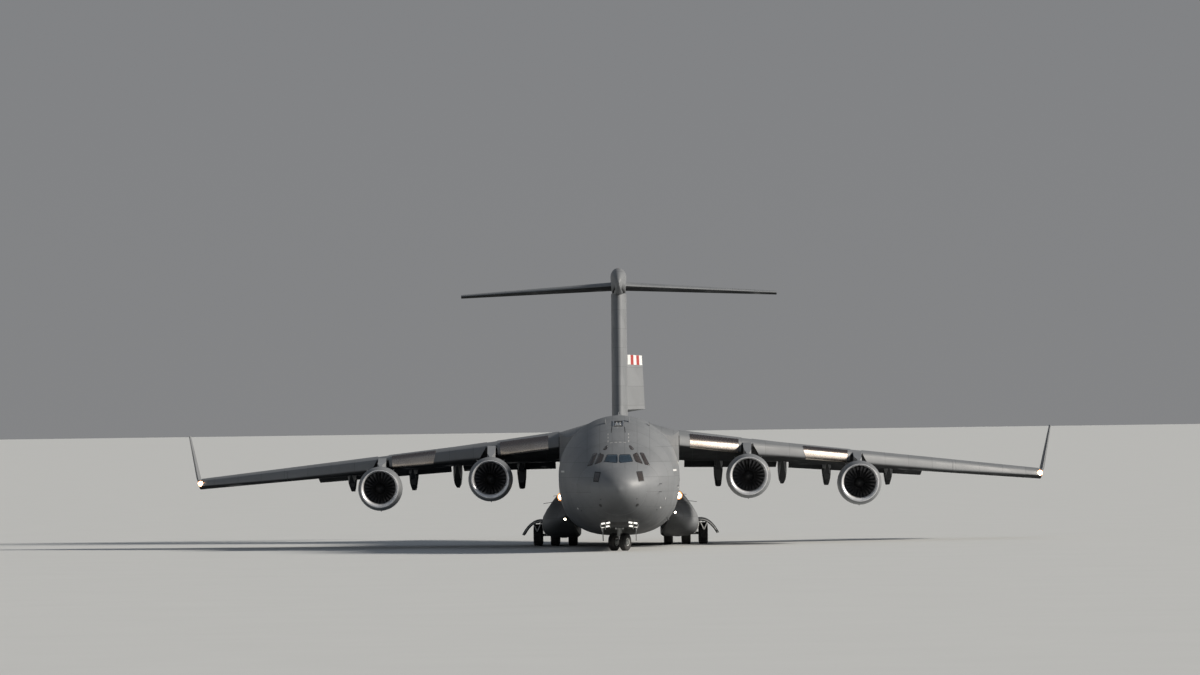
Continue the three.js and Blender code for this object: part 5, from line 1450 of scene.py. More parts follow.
def build_fan(name, centre, settings):
    """Spinner, shaft and twisted blades, which turn as one body."""
    fan = lathe(bmesh.new(), [*curve_through(SPINNER, 3), [1.25, 0.0]], centre, AFT, 40, finish=1)
    blade = bmesh.new()
    rings = []
    for k in range(7):
        share = k / 6
        radius = BLADE_ROOT + (BLADE_TIP - BLADE_ROOT) * share
        pitch = math.radians(28) + settings.twist * share
        chord = 0.26 + 0.1 * share
        sweep = 0.05 * math.sin(math.pi * share)
        ring = []
        for j in range(10):
            angle = 2 * math.pi * j / 10
            along = math.cos(angle) * chord / 2
            thick = math.sin(angle) * (0.016 - 0.008 * share) + 0.03 * (1 - (2 * along / chord) ** 2)
            x = along * math.sin(pitch) + thick * math.cos(pitch)
            y = along * math.cos(pitch) - thick * math.sin(pitch)
            ring.append(centre + Vector((x, 1.0 + sweep + y, radius)) * SCALE)
        rings.append(ring)
    loft(blade, rings)
    bmesh.ops.spin(
        blade, geom=[*blade.verts, *blade.edges, *blade.faces], cent=centre, axis=AFT, dvec=(0, 0, 0),
        angle=2 * math.pi, steps=settings.blades, use_merge=False, use_duplicate=True,
    )
    add_mesh(fan, blade)
    rod(fan, centre + AFT * 1.2 * SCALE, centre + AFT * 1.3 * SCALE, 0.12, 16)
    body = f"fan_{name}"
    shown(f"fan_blades_{name}", fan, ["fan_metal", "duct_paint"], [body], body)


class BuildEngines(bpy.types.Operator):
    """Builds the engines: cowls, bright inlet lips, ducts, vanes, fans and cores."""

    bl_idname = "aeroplane.build_engines"
    bl_label = "Build engines"
    bl_options = {"REGISTER", "UNDO"}

    def execute(self, context):
        settings = context.scene.aeroplane_engines
        for row, (lateral, inlet, height) in ENGINES.items():
            for side_name, side in SIDES.items():
                centre = place(side * lateral, inlet, height)
                name = f"{row}_{side_name}"
                build_nacelle(name, centre, settings.steps)
                build_vanes(name, centre, settings.vanes)
                build_cowl_fittings(name, centre, settings.steps)
                build_fan(name, centre, settings)
        return {"FINISHED"}


# Landing gear

WHEEL_DROP = math.cos(math.pi / 16)  # the frame's wheels stand on a flat
MAIN_WHEEL = {"radius": 0.635 * WHEEL_DROP, "width": 0.53, "rim": 0.285}
NOSE_WHEEL = {"radius": 0.5 * WHEEL_DROP, "width": 0.38, "rim": 0.215}
GROOVE_DEPTH = 0.016
MAIN_LATERALS = [2.81, 3.85, 4.86]
MAIN_POSTS = {"front": 24.05, "rear": 26.75}
POST_LATERAL = 3.33
AXLE_ENDS = (2.6, 5.06)
# columns: lateral, height of the open main gear door and of the inner edge of its frames
DOOR_OUTER = [[4.47, 1.515], [4.8, 1.525], [5.08, 1.455], [5.36, 1.275], [5.6, 0.995], [5.785, 0.68]]
DOOR_INNER = [[4.47, 1.35], [4.78, 1.36], [5.01, 1.31], [5.24, 1.15], [5.47, 0.9], [5.64, 0.63]]
DOOR_FRAMES = (23.31, 25.12, 25.51, 27.32)
DOOR_FRAME_LENGTH = 0.15
# columns: lateral, height
DOOR_BRACKET = [[4.66, 1.36], [4.9, 0.86], [5.1, 1.3]]
BAY_EDGE = [[4.33, 0.66], [4.47, 0.84], [4.55, 1.05], [4.58, 1.3]]
# columns: lateral and station from the leg's middle, height
BRAKE_PIPE = [[0.1, 0.12, 1.45], [0.19, 0.15, 1.15], [0.2, 0.12, 0.85], [0.14, 0.06, 0.68]]
# columns of a scissor link's two ends on a main leg: station from the leg's middle, height
SCISSORS = [((-0.15, 0.75), (-0.36, 0.95)), ((-0.36, 0.95), (-0.16, 1.14))]
NOSE_STATION = 5.34
NOSE_TRACK = 0.34
NOSE_STEERED = math.radians(-25)


def tyre_profile(wheel, groove):
    """(along the axle, radius) points round a tyre's section, with grooves in the tread."""
    half, radius, rim = wheel["width"] / 2, wheel["radius"], wheel["rim"]
    corners = [
        [half * 0.72, rim], [half * 0.93, rim + 0.06], [half, (rim + radius) / 2 + 0.02],
        [half * 0.92, radius - 0.055], [half * 0.76, radius - 0.012], [half * 0.62, radius],
    ]
    wall = curve_through(corners, 4)
    tread = []
    for at in (0.42 * half, 0.0, -0.42 * half):
        floor = radius - GROOVE_DEPTH
        tread += [[at + groove / 2, radius], [at + groove / 2.4, floor]]
        tread += [[at - groove / 2.4, floor], [at - groove / 2, radius]]
    other = [[-x, r] for x, r in reversed(wall)]
    return [*wall, *tread, *other]


def rim_profile(wheel):
    """(along the axle, radius) points of a wheel's rim and disc."""
    half, rim = wheel["width"] / 2, wheel["rim"]
    side = [
        [half * 0.8, rim + 0.012], [half * 0.86, rim + 0.006], [half * 0.84, rim - 0.02],
        [half * 0.6, rim - 0.035], [half * 0.34, rim * 0.72], [half * 0.36, rim * 0.5],
        [half * 0.72, rim * 0.44], [half * 0.78, rim * 0.3], [half * 0.78, 0.0],
    ]
    return [[-x, r] for x, r in reversed(side)] + side


def build_wheels(name, body, wheel, centres, axle, settings, ends):
    """Tyres, rims and the axle of one set of wheels, whose node has the body's name."""
    tyres, rims = bmesh.new(), bmesh.new()
    for centre in centres:
        lathe(tyres, tyre_profile(wheel, settings.groove), centre, axle, settings.steps, closed=True)
        lathe(rims, list(reversed(rim_profile(wheel))), centre, axle, 40)
        half, rim = wheel["width"] / 2, wheel["rim"]
        across = axle.orthogonal().normalized()
        for way in (1, -1):
            for k in range(settings.bolts):
                spoke = Matrix.Rotation(2 * math.pi * k / settings.bolts, 3, axle) @ across
                at = centre + (spoke * rim * 0.6 + axle * way * half * 0.36) * SCALE
                rod(rims, at, at + axle * way * 0.04 * SCALE, 0.016, 6)
                # Dark discs on the wheel's disc stand for its holes: painted shade.
                hole_shade = centre + (spoke * rim * 0.84 + axle * way * half * 0.5) * SCALE
                rod(rims, hole_shade, hole_shade + axle * way * 0.03 * SCALE, 0.024, 8, finish=1)
    shown(f"{name}_tyres", tyres, "tyre_rubber", [body], body)
    rod(rims, *ends, 0.058, 20)
    shown(f"{name}_rims", rims, ["gear_paint", "dark_paint"], body=body)


def collar(bm, foot, height, inner, outer):
    """An upright ring on a leg."""
    return lathe(bm, band(0.0, height, inner, outer), foot, UP, 28, closed=True)


def build_door_frames(name, side):
    """Deep end frames of the open main gear doors, their pale brackets and the bay's bright edge."""
    frames, pale = bmesh.new(), bmesh.new()
    outer, inner = curve_through(DOOR_OUTER, 3), curve_through(DOOR_INNER, 3)
    for start in DOOR_FRAMES:
        end = start + DOOR_FRAME_LENGTH
        rings = []
        for out, within in zip(outer, inner):
            corners = [(out, start), (within, start), (within, end), (out, end)]
            rings.append([place(side * x, station, z) for (x, z), station in corners])
        loft(frames, rings)

    def bar(points, station, radius, sides):
        for (x0, z0), (x1, z1) in pairwise(points):
            rod(pale, place(side * x0, station, z0), place(side * x1, station, z1), radius, sides)

    bar([((a + c) / 2, (b + d) / 2) for (a, b), (c, d) in zip(outer, inner)], 23.3, 0.028, 8)
    for station in (23.3, 25.25, 27.5):
        bar(DOOR_BRACKET, station, 0.034, 10)
    bar(curve_through(BAY_EDGE, 4), 23.16, 0.03, 8)
    shown(f"gear_door_frames_{name}", frames, "seam_paint")
    shown(f"gear_door_brackets_{name}", pale, "white_paint")


def build_main_leg(name, side, station):
    """Bright oleo, collars, scissor links and brake pipes on a main leg."""
    bm = bmesh.new()
    x = side * POST_LATERAL
    rod(bm, place(x, station, 0.8), place(x, station, 1.08), 0.108, 24, finish=1)
    collar(bm, place(x, station, 0.95), 0.07, 0.155, 0.185)
    collar(bm, place(x, station, 1.3), 0.05, 0.155, 0.175)
    for (low_aft, low), (high_aft, high) in SCISSORS:
        for way in (-1, 1):
            foot, head = x + way * 0.07, x + way * 0.035
            rod(bm, place(foot, station + low_aft, low), place(head, station + high_aft, high), 0.024, 10)
    rod(bm, place(x - 0.07, station - 0.36, 0.95), place(x + 0.07, station - 0.36, 0.95), 0.032, 12)
    for way in (-1, 1):
        line = curve_through([[x + way * out, station + aft, z] for out, aft, z in BRAKE_PIPE], 5)
        for a, b in pairwise(line):
            rod(bm, place(*a), place(*b), 0.012, 8)
    shown(f"main_leg_fittings_{name}", bm, ["gear_paint", "bright_metal"])


def build_nose_leg():
    """Collars, steering jacks and drag braces on the nose leg."""
    bm = bmesh.new()
    s = NOSE_STATION
    collar(bm, place(0, s, 1.16), 0.12, 0.13, 0.17)
    collar(bm, place(0, s, 1.62), 0.06, 0.13, 0.155)
    for way in (-1, 1):
        rod(bm, place(way * 0.2, s - 0.2, 1.25), place(way * 0.2, s + 0.16, 1.25), 0.05, 14)
        rod(bm, place(way * 0.2, s - 0.34, 1.25), place(way * 0.2, s - 0.2, 1.25), 0.03, 12, finish=1)
        rod(bm, place(way * 0.16, s, 1.25), place(way * 0.2, s, 1.25), 0.035, 12)
        rod(bm, place(way * 0.11, s, 1.95), place(way * 0.7, s - 0.55, 2.2), 0.03, 10)
    shown("nose_leg_fittings", bm, ["gear_paint", "bright_metal"])


def build_nose_fork():
    """Scissor links, a collar and the bright oleo, which steer with the fork."""
    links = bmesh.new()
    turn = Matrix.Rotation(NOSE_STEERED, 3, "Z")
    foot = place(0, NOSE_STATION, 0)

    def own(x, y, z):
        return foot + turn @ Vector((x, y, z)) * SCALE

    for way in (-1, 1):
        rod(links, own(way * 0.05, 0.13, 0.62), own(way * 0.03, 0.34, 0.82), 0.022, 10)
        rod(links, own(way * 0.03, 0.34, 0.82), own(way * 0.05, 0.15, 1.05), 0.022, 10)
    rod(links, own(-0.06, 0.34, 0.82), own(0.06, 0.34, 0.82), 0.028, 12)
    collar(links, own(0, 0, 0.82), 0.06, 0.15, 0.175)
    rod(links, own(0, 0, 0.62), own(0, 0, 0.81), 0.1, 24, finish=1)
    shown("nose_fork_fittings", links, ["gear_paint", "bright_metal"], body="nose_gear_fork")


class BuildGear(bpy.types.Operator):
    """Builds the wheels and the fittings of the landing gear's legs and doors."""

    bl_idname = "aeroplane.build_gear"
    bl_label = "Build landing gear"
    bl_options = {"REGISTER", "UNDO"}

    def execute(self, context):
        settings = context.scene.aeroplane_gear
        height = MAIN_WHEEL["radius"]
        for side_name, side in SIDES.items():
            for post, station in MAIN_POSTS.items():
                node = f"main_wheels_{post}_{side_name}"
                centres = [place(side * x, station, height) for x in MAIN_LATERALS]
                ends = [place(side * x, station, height) for x in AXLE_ENDS]
                build_wheels(node, node, MAIN_WHEEL, centres, LEFT, settings, ends)
                build_main_leg(f"{post}_{side_name}", side, station)
            build_door_frames(side_name, side)
        axle = Matrix.Rotation(NOSE_STEERED, 3, "Z") @ LEFT
        hub = place(0, NOSE_STATION, NOSE_WHEEL["radius"])
        centres = [hub + axle * way * NOSE_TRACK * SCALE for way in (1, -1)]
        ends = [hub + axle * way * (NOSE_TRACK + 0.15) * SCALE for way in (1, -1)]
        build_wheels("nose", "nose_wheels", NOSE_WHEEL, centres, axle, settings, ends)
        build_nose_leg()
        build_nose_fork()
        return {"FINISHED"}


# Lights, aerials and marks


BLADE_HALF_THICKNESS = 0.025
# columns: station, how far it hangs
BELLY_AERIALS = [(8.6, 0.3), (14.2, 0.36)]
# columns: lateral, station, chord, height
CROWN_AERIALS = [
    (0.6, 6.5, 0.34, 0.26),
    (-0.72, 6.3, 0.3, 0.24),
    (1.76, 7.7, 0.4, 0.26),
    (0.0, 11.2, 0.5, 0.2),
    (0.0, 36.5, 0.45, 0.3),
]
# columns: station, height of the middle
CABIN_WINDOWS = [(12.6, 4.0), (24.4, 4.35), (33.35, 3.75)]
# columns of the next sections: distance ahead of the lamp's face, radius
POD = [[0.0, 0.0], [0.0, 0.2], [-0.05, 0.215], [-0.3, 0.2], [-0.75, 0.12], [-0.95, 0.02], [-0.95, 0.0]]
# Ring round a lens that glows: painted glow of the lamp.
POD_HALO = [[0.0, 0.165], [0.016, 0.172], [0.006, 0.25], [-0.02, 0.25], [-0.02, 0.165]]
SMALL_POD = [[0.0, 0.0], [0.0, 0.075], [-0.3, 0.07], [-0.3, 0.0]]
TIP_HALO = [[0.0, 0.125], [0.012, 0.13], [0.0, 0.175], [-0.02, 0.125]]
# columns: lateral, height
NOSE_LAMPS = [(0.62, 1.62), (0.9, 1.58), (0.64, 1.42), (0.9, 1.38)]


def lens(bm, centre, axis, radius, depth, steps=28):
    """A domed lens that stands on centre and points along axis."""
    dome = [[0.0, radius], [depth * 0.5, radius * 0.9], [depth * 0.85, radius * 0.6], [depth, 0.0]]
    return lathe(bm, [[-0.02, 0.0], [-0.02, radius], *dome], centre, axis, steps)


def blade(bm, foot, chord, height, lean):
    """A blade aerial that stands on foot; lean is how far its top is set back."""
    rings = []
    for share, size in ((-0.1, 1.0), (0.55, 0.85), (0.94, 0.66), (1.0, 0.45)):
        ring = []
        for k in range(12):
            angle = 2 * math.pi * k / 12
            along = math.cos(angle) * chord / 2 * size
            across = math.sin(angle) * BLADE_HALF_THICKNESS * size * (1.0 if share < 1 else 0.6)
            ring.append(foot + Vector((across, along + lean * share, height * share)) * SCALE)
        rings.append(ring)
    return loft(bm, rings)


def build_nose_lamps():
    """Rows of lamps on brackets inside the nose gear's doors."""
    frames, faces, shade_boards = bmesh.new(), bmesh.new(), bmesh.new()

    def opening(u, v, lift):
        return hull_front(-0.9 + 1.8 * u, 1.43 + (0.22 - 0.05 * abs(2 * u - 1)) * v, lift)

    # A near-black plate across the opening behind the lamps: painted shade.
    slab(shade_boards, opening, 20, 5, -0.02, 0.03)
    for side in (1, -1):
        turn = Matrix.Rotation(math.radians(12) * side, 4, "Y")
        for lateral, height in NOSE_LAMPS:
            middle = hull_front(side * lateral, height, 0.12)
            box(frames, middle, (0.25, 0.12, 0.13), turn, 0.02, finish=1)
            box(faces, middle + Vector((0, -0.033, 0)), (0.2, 0.02, 0.085), turn, 0.006)
        # bright front edge of the door and the bars that carry the lamps
        box(frames, hull_front(side * 1.05, 1.48, 0.08), (0.04, 0.08, 0.32), turn, 0.012, finish=1)
        box(frames, place(side * 0.97, 3.12, 1.24), (0.04, 0.08, 0.3), turn, 0.01, finish=1)
        rod(frames, hull_front(side * 0.76, 1.66, -0.05), place(side * 0.78, 3.2, 1.24), 0.022, 8)
        rod(frames, place(side * 0.5, 3.26, 1.3), place(side * 0.5, 3.26, 2.3), 0.018, 8)
        rod(frames, place(side * 0.24, 3.4, 1.4), place(side * 0.86, 3.2, 1.36), 0.02, 8)
    shown("nose_lamp_shade_boards", shade_boards, "dark_paint")
    shown("nose_lamp_frames", frames, ["gear_paint", "bright_metal"])
    shown("nose_lamp_lenses", faces, "taxi_lamp")


class BuildLights(bpy.types.Operator):
    """Builds the landing lights, taxi lamps, wing-tip lights and beacons."""

    bl_idname = "aeroplane.build_lights"
    bl_label = "Build lights"
    bl_options = {"REGISTER", "UNDO"}

    def execute(self, context):
        lit, shells, halo = bmesh.new(), bmesh.new(), bmesh.new()
        for side in (1, -1):
            # landing light in its pod on the shoulder of the sponson
            centre = place(side * 3.38, 18.35, 2.93)
            lathe(shells, POD, centre, AHEAD, 28)
            lens(lit, centre, AHEAD, 0.17, 0.03)
            # an orange ring round the lens: painted glow
            lathe(halo, POD_HALO, centre, AHEAD, 28, closed=True)
            # small lamp lower on the sponson's front
            low = place(side * 3.2, 18.42, 1.94 if side > 0 else 1.63)
            lathe(shells, SMALL_POD, low, AHEAD, 20)
            lens(lit, low, AHEAD, 0.055, 0.02, steps=16)
            # wing tip
            tip = wing_point(25.02, -0.02, 0.0, side) + Vector((0, -0.05, -0.03))
            outwards = Vector((side * 0.35, -1, 0)).normalized()
            lens(lit, tip, outwards, 0.13, 0.11)
            # the same painted glow round the tip light's lens
            lathe(halo, TIP_HALO, tip, outwards, 24, closed=True)
        shown("lamp_shells", shells, "trim_paint")
        shown("lit_lamps", lit, "lit_lamp")
        shown("painted_lamp_glows", halo, "lamp_halo")
        build_nose_lamps()
        beacons = bmesh.new()
        lens(beacons, place(0, 46.2, 16.76), UP, 0.08, 0.05)
        lens(beacons, hull_point(20.5, -math.pi / 2) + Vector((0, 0, 0.005)), -UP, 0.1, 0.12)
        shown("beacons", beacons, "red_beacon")
        return {"FINISHED"}


# columns: station, half width, top, bottom of the body on the fin, behind its round nose
CREST_BACK = [(46.9, 0.486, 16.775, 15.0), (48.6, 0.468, 16.712, 15.1), (50.3, 0.368, 16.41, 15.22)]
# The lower rudder: its hinge as a share of the fin's chord, and the heights of its ends
RUDDER = {"hinge": 0.66, "foot": 7.86, "top": 11.3, "bar_height": 0.6, "turned": math.radians(-42)}


def fin_point(height, t, proud, inset):
    """A point of the fin's nose; t * t is the share of the chord, and t is above 0 on the left."""
    _, edge, chord, thickness = section_at(FIN, height)
    across = thickness * half_thickness(abs(t)) * chord + proud
    return place(math.copysign(across, t), edge - 0.012 + t * t * chord + inset, height)


def build_aerials():
    bm = bmesh.new()
    for lateral, station, chord, height in CROWN_AERIALS:
        blade(bm, crown(lateral, station), chord, height, height * 0.4)
    for station, drop in BELLY_AERIALS:
        blade(bm, hull_point(station, -math.pi / 2), 0.4, -drop, 0.12)
    shown("blade_aerials", bm, "trim_paint")
    probes = bmesh.new()
    for side in (1, -1):
        for height in (3.3, 3.75):
            foot = hull_side(2.3, height, side)
            tip = foot + Vector((side * 0.16, -0.02, 0)) * SCALE
            rod(probes, foot, tip, 0.02, 10)
            rod(probes, tip, tip + Vector((0, -0.26, 0)) * SCALE, 0.016, 10, end_radius=0.008)
        vane = hull_side(3.4, 2.9, side)
        blade(probes, vane, 0.16, 0.05, 0.0)
    shown("air_probes", probes, "steel")
    # small blades on the front of the sponsons
    sponson = bmesh.new()
    for side in (1, -1):
        root, tip = place(side * 3.95, 21.6, 2.6), place(side * 4.42, 21.75, 2.5)
        turn = Matrix.Rotation(math.radians(8) * side, 4, "Y")
        box(sponson, (root + tip) / 2, (0.62, 0.2, 0.03), turn, 0.01)
        box(sponson, place(side * 3.62, 19.4, 3.0), (0.5, 0.16, 0.025), turn, 0.008)
    shown("sponson_blades", sponson, "trim_paint")


def build_slipway():
    """The refuelling slipway behind the flight deck: door frame, bright receptacle and white dashes."""

    def strip(lateral0, lateral1, station0, station1):
        def surface(u, v, lift):
            return crown(lateral0 + (lateral1 - lateral0) * u, station0 + (station1 - station0) * v, lift)

        return surface

    dark, white, metal = bmesh.new(), bmesh.new(), bmesh.new()
    slab(dark, strip(-0.3, 0.3, 5.3, 6.5), 8, 12, -0.02, 0.008)
    slab(metal, strip(-0.2, 0.2, 5.45, 5.85), 6, 4, -0.01, 0.05)
    for side in (1, -1):
        slab(metal, strip(side * 0.24, side * 0.3, 5.3, 6.5), 2, 12, -0.01, 0.035)
        for station in spread(4.55, 5.1, 0.14):
            flare = 0.06 * (5.1 - station)
            dash = strip(side * (0.34 + flare), side * (0.37 + flare), station, station + 0.16)
            slab(dark, dash, 2, 2, -0.01, 0.006)
        for k in range(3):
            start = 3.6 + 0.36 * k
            slab(white, strip(side * 0.55, side * 0.6, start, start + 0.17), 2, 3, -0.01, 0.006)
    for k in range(4):
        start = -0.46 + 0.25 * k
        slab(white, strip(start, start + 0.14, 3.5, 3.54), 3, 2, -0.01, 0.006)
    for lateral in (-0.08, 0.1):
        rod(metal, crown(lateral, 5.6, 0.04), crown(lateral, 5.6, 0.16), 0.035, 12)
    shown("slipway_floor", dark, "seal_paint")
    shown("slipway_dashes", white, "faded_paint")
    shown("slipway_receptacle", metal, "bright_metal")


def build_nose_marks():
    """Round sensors, the small pale plates on the fuselage's sides, and the cabin's round windows."""
    dark, pale = bmesh.new(), bmesh.new()

    def disc(bm, lateral, height, radius):
        centre = hull_front(lateral, height)
        beside, above = hull_front(lateral + 0.05, height), hull_front(lateral, height + 0.05)
        normal = (beside - centre).cross(above - centre).normalized()
        if normal.y > 0:
            normal = -normal
        rounded = [[0.012 * 0.6, radius], [0.012, radius * 0.8], [0.012, 0.0]]
        lathe(bm, [[-0.02, 0.0], [-0.02, radius], *rounded], centre, normal, 24)

    for side in (1, -1):
        disc(dark, side * 1.02, 2.6, 0.1)
        disc(dark, side * 2.1, 2.3, 0.04)
        disc(pale, side * 2.3, 2.42, 0.055)
        disc(dark, side * 1.0, 2.95, 0.03)

        def plate(u, v, lift, side=side):
            return hull_front(side * (3.05 + 0.19 * u), 4.43 + 0.1 * v, lift)

        slab(pale, plate, 5, 4, -0.01, 0.012)
    shown("sensor_ports", dark, "seal_paint")
    shown("side_plates", pale, "white_paint")
    rim = [[-0.03, 0.2], [0.016, 0.2], [0.02, 0.185], [0.016, 0.15], [-0.03, 0.15]]
    pane = [[-0.03, 0.0], [-0.03, 0.155], [0.008, 0.155], [0.014, 0.0]]
    windows, rims = bmesh.new(), bmesh.new()
    for side in (1, -1):
        for station, height in CABIN_WINDOWS:
            centre = hull_side(station, height, side, 0.002)
            outward = Vector((side, 0, 0.02 if station < CENTRE_END else -0.05)).normalized()
            lathe(rims, rim, centre, outward, 32, closed=True)
            lathe(windows, pane, centre, outward, 32)
    shown("cabin_window_rims", rims, "trim_paint")
    shown("cabin_windows", windows, "windscreen_glass")


def build_rudder_bars():
    """White and red bars across the top of the lower rudder, on both faces."""
    hinge, foot, top, deep = (RUDDER[k] for k in ("hinge", "foot", "top", "bar_height"))
    _, foot_edge, foot_chord, _ = section_at(FIN, foot)
    _, top_edge, top_chord, _ = section_at(FIN, top)
    a = place(0, foot_edge + hinge * foot_chord, foot)
    b = place(0, top_edge + hinge * top_chord, top)
    axis = (b - a).normalized()
    turn = Matrix.Translation(a) @ Matrix.Rotation(RUDDER["turned"], 4, axis) @ Matrix.Translation(-a)
    white, red = bmesh.new(), bmesh.new()
    start, end, count = 0.735, 0.992, 5
    for face in (1, -1):
        for k in range(count):
            first = start + (end - start) * k / count
            last = start + (end - start) * (k + 1) / count

            def surface(u, v, lift, first=first, last=last, face=face):
                share = first + (last - first) * u
                aft = share * top_chord - hinge * top_chord
                height = top - 0.02 - 0.1 * max(0, aft) - deep * (1 - v)
                _, edge, chord, thickness = section_at(FIN, height)
                across = thickness * half_thickness(math.sqrt(share)) * chord + lift
                return turn @ place(face * across, edge + share * chord, height)

            slab(white if k % 2 == 0 else red, surface, 4, 4, -0.004, 0.006)
    shown("rudder_bars_white", white, "white_paint", body="rudder_lower")
    shown("rudder_bars_red", red, "red_paint", body="rudder_lower")


def build_fin_nose():
    """Round nose skin of the fin, and the smooth body on its top."""
    rings = []
    for height in spread(7.3, 15.16, 0.655):
        outer = [fin_point(height, t, 0.01, 0.0) for t in spread(-0.6, 0.6, 0.04)]
        inner = [fin_point(height, t, -0.03, 0.06) for t in (0.55, 0.3, 0.15, -0.15, -0.3, -0.55)]
        rings.append(outer + inner)
    skin = loft(bmesh.new(), rings)
    rings = []
    steps = 14
    for k in range(1, steps + 1):
        angle = math.pi / 2 * k / steps
        full = math.sin(angle)
        station = 45.3 - 2.9 * math.cos(angle)
        rings.append((station, 0.49 * full, 15.76 + 1.025 * full, 15.76 - 0.78 * full))
    crest = loft(bmesh.new(), [crest_ring(*row) for row in [*rings, *CREST_BACK]])
    shown("fin_nose_skin", skin, "fin_paint")
    shown("fin_crest_skin", crest, "fin_paint")


def crest_ring(station, half_width, top, bottom):
    """A section of the body on the fin: round above, squarer below."""
    middle = top - half_width * 1.15
    ring = []
    for k in range(36):
        angle = 2 * math.pi * (k + 0.5) / 36
        c, s = math.cos(angle), math.sin(angle)
        if s > 0:
            ring.append(place(c * half_width, station, middle + s * (top - middle)))
        else:
            wide = math.copysign(abs(c) ** 0.5, c)
            ring.append(place(wide * half_width, station, middle + s * (middle - bottom)))
    return ring


def build_wicks():
    """Static wicks on the wing tips' trailing edges."""
    bm = bmesh.new()
    for side in (1, -1):
        for lateral in (24.4, 24.75, 25.05):
            foot = wing_point(lateral, 0.995, 0, side)
            rod(bm, foot, foot + Vector((0, 0.22, -0.01)) * SCALE, 0.008, 6, end_radius=0.003)
    shown("static_wicks", bm, "dark_paint")


class BuildMarks(bpy.types.Operator):
    """Builds aerials, probes, the refuelling slipway, the rudder's bars and other small marks."""

    bl_idname = "aeroplane.build_marks"
    bl_label = "Build aerials and marks"
    bl_options = {"REGISTER", "UNDO"}

    def execute(self, context):
        build_aerials()
        build_slipway()
        build_nose_marks()
        build_rudder_bars()
        build_wicks()
        build_fin_nose()
        return {"FINISHED"}


class BuildCabin(bpy.types.Operator):
    """Builds the pilots' seats and the rails of the cargo floor."""

    bl_idname = "aeroplane.build_cabin"
    bl_label = "Build cabin"
    bl_options = {"REGISTER", "UNDO"}

    def execute(self, context):
        for name, lateral in (("left", 0.75), ("right", -0.75)):
            cushion = bmesh.new()
            box(cushion, place(lateral, 3.56, 4.56), (0.5, 0.5, 0.13), bevel=0.05)
            tilt = Matrix.Rotation(math.radians(-10), 4, "X")
            box(cushion, place(lateral, 3.83, 4.86), (0.46, 0.11, 0.6), tilt, 0.05)
            box(cushion, place(lateral, 3.9, 5.26), (0.26, 0.09, 0.2), tilt, 0.04)
            seat = shown(f"seat_cushions_{name}", cushion, "fabric_blue")
            soft = seat.modifiers.new("Soft", "SUBSURF")
            soft.levels = soft.render_levels = 2
        rails = bmesh.new()
        for lateral in (-1.9, -0.95, 0.95, 1.9):
            box(rails, place(lateral, 18.6, 1.668), (0.12, 21.0, 0.03), bevel=0.008)
        for k in range(20):
            station = 8.6 + k * 1.02
            for lateral in (-1.42, 1.42):
                ends = [place(lateral + way * 0.3, station, 1.665) for way in (-1, 1)]
                rod(rails, *ends, 0.03, 10)
        shown("cargo_rails", rails, "steel")
        frames = bmesh.new()
        sides = 56
        angles = [2 * math.pi * (k + 0.5) / sides for k in range(sides)]
        for station in spread(9.6, 28.9, FRAME_PITCH):
            rings = []
            for lift, offset in ((-0.14, -0.05), (-0.24, -0.05), (-0.24, 0.05), (-0.14, 0.05)):
                rings.append([hull_point(station + offset, angle, lift) for angle in angles])
            rings.append(rings[0])
            loft(frames, rings, capped=False)
        shown("hull_frames", frames, "cabin_paint")
        return {"FINISHED"}


SUN_FROM = Vector((0.88, -0.13, 0.42))
SUN_ANGLE = math.radians(10)
SENSOR_WIDTH = 36
CAMERA_LATERAL = 0.63
CAMERA_ROLL = math.radians(-0.75)
# The photograph's width, and its middle's distance above the horizon and left of straight ahead, in pixels
PHOTO_WIDTH, AIM_UP, AIM_ASIDE = 1200, 88.6, 39.5


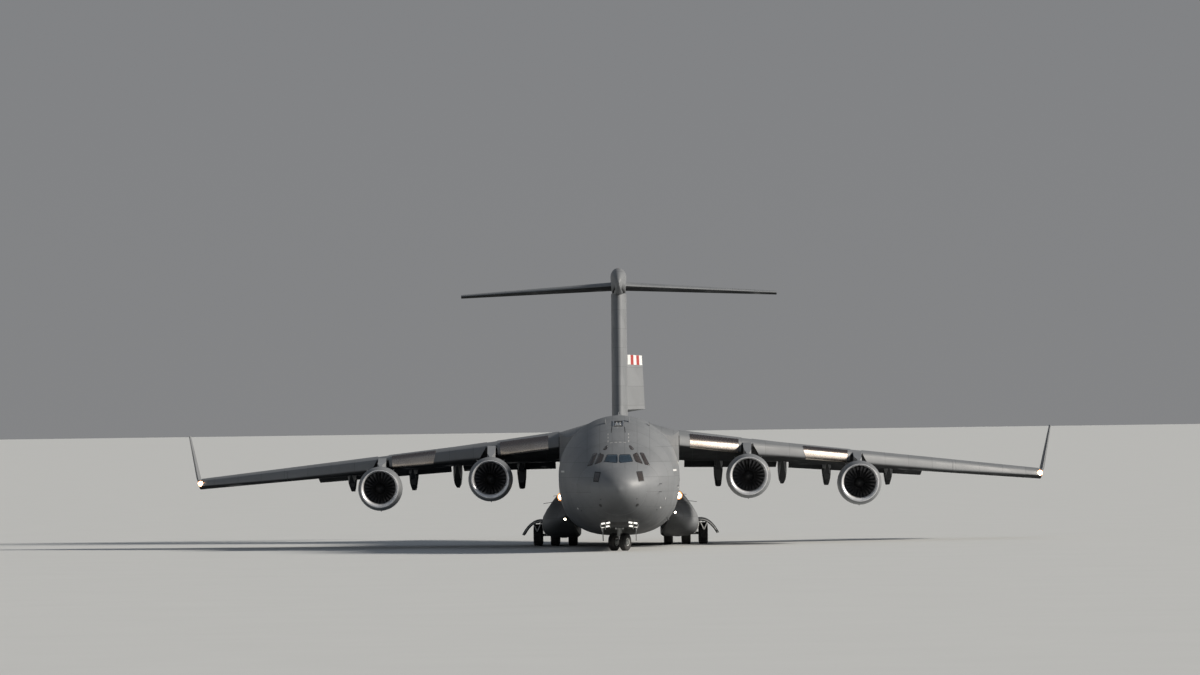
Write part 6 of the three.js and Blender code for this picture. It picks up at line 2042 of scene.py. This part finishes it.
class BuildStage(bpy.types.Operator):
    """Lays the pale floor, hangs the lights and sets up the camera."""

    bl_idname = "aeroplane.build_stage"
    bl_label = "Build stage"
    bl_options = {"REGISTER", "UNDO"}

    def execute(self, context):
        settings = context.scene.aeroplane_lights
        floor = bmesh.new()
        bmesh.ops.create_grid(floor, x_segments=1, y_segments=1, size=4000)
        mesh = bpy.data.meshes.new("floor")
        floor.to_mesh(mesh)
        floor.free()
        ground = bpy.data.objects.new("floor", mesh)
        context.scene.collection.objects.link(ground)
        pale = Finish("pale_floor", (0.62, 0.63, 0.62), 0.85)
        pale.paint(pale.mix(pale.noise(0.4, detail=3), (0.6, 0.61, 0.6), (0.64, 0.65, 0.64)))
        mesh.materials.append(pale.material)

        sun = bpy.data.lights.new("key", "SUN")
        sun.energy = settings.sun_strength
        sun.angle = SUN_ANGLE
        sun.color = (1.0, 0.94, 0.86)
        key = bpy.data.objects.new("key", sun)
        key.rotation_euler = SUN_FROM.to_track_quat("Z", "Y").to_euler()
        context.scene.collection.objects.link(key)

        world = bpy.data.worlds.new("sky")
        world.use_nodes = True
        context.scene.world = world
        tree = world.node_tree
        sky = tree.nodes["Background"]
        coordinate = tree.nodes.new("ShaderNodeTexCoord")
        split = tree.nodes.new("ShaderNodeSeparateXYZ")
        ramp = tree.nodes.new("ShaderNodeValToRGB")
        tree.links.new(coordinate.outputs["Generated"], split.inputs[0])
        tree.links.new(split.outputs[2], ramp.inputs[0])
        tree.links.new(ramp.outputs[0], sky.inputs[0])
        ramp.color_ramp.elements[0].position = 0.0
        ramp.color_ramp.elements[0].color = (0.82, 0.83, 0.85, 1)
        ramp.color_ramp.elements[1].position = 0.7
        ramp.color_ramp.elements[1].color = (0.5, 0.58, 0.7, 1)
        sky.inputs[1].default_value = settings.sky_strength

        camera = bpy.data.cameras.new("camera")
        camera.lens = settings.focal_length
        camera.sensor_width = SENSOR_WIDTH
        camera.clip_end = 6000
        eye = bpy.data.objects.new("camera", camera)
        context.scene.collection.objects.link(eye)
        eye.location = (CAMERA_LATERAL, place(0, 0, 0).y - settings.camera_ahead, settings.camera_height)
        pixels = settings.focal_length / SENSOR_WIDTH * PHOTO_WIDTH
        up, aside = math.atan(AIM_UP / pixels), math.atan(AIM_ASIDE / pixels)
        aim = Matrix.Rotation(aside, 4, "Z") @ Matrix.Rotation(math.pi / 2 + up, 4, "X")
        eye.rotation_euler = (aim @ Matrix.Rotation(CAMERA_ROLL, 4, "Z")).to_euler()
        context.scene.camera = eye
        context.scene.view_settings.view_transform = "Standard"
        return {"FINISHED"}


OPERATORS = [
    MixFinishes, DressFrame, BuildFuselage, BuildDoorFittings, BuildFairing, BuildWings, BuildEngines,
    BuildGear, BuildLights, BuildMarks, BuildCabin, BuildStage,
]


class AeroplanePanel(bpy.types.Panel):
    """Lists the aeroplane's settings and building steps."""

    bl_idname = "VIEW3D_PT_aeroplane"
    bl_label = "Aeroplane"
    bl_space_type = "VIEW_3D"
    bl_region_type = "UI"
    bl_category = "Aeroplane"

    def draw(self, context):
        for name in SETTINGS:
            settings = getattr(context.scene, name)
            column = self.layout.column(align=True)
            for key in settings.bl_rna.properties.keys():
                if key not in ("rna_type", "name"):
                    column.prop(settings, key)
        for operator in OPERATORS:
            self.layout.operator(operator.bl_idname)


def register():
    for group in SETTINGS.values():
        bpy.utils.register_class(group)
    for name, group in SETTINGS.items():
        setattr(bpy.types.Scene, name, PointerProperty(type=group))
    for operator in OPERATORS:
        bpy.utils.register_class(operator)
    bpy.utils.register_class(AeroplanePanel)


def unregister():
    bpy.utils.unregister_class(AeroplanePanel)
    for operator in reversed(OPERATORS):
        bpy.utils.unregister_class(operator)
    for name in SETTINGS:
        delattr(bpy.types.Scene, name)
    for group in SETTINGS.values():
        bpy.utils.unregister_class(group)


def main():
    register()
    for operator in OPERATORS:
        step = operator.bl_idname.split(".")[1]
        getattr(bpy.ops.aeroplane, step)()
    bpy.context.view_layer.update()


if __name__ == "__main__":
    main()
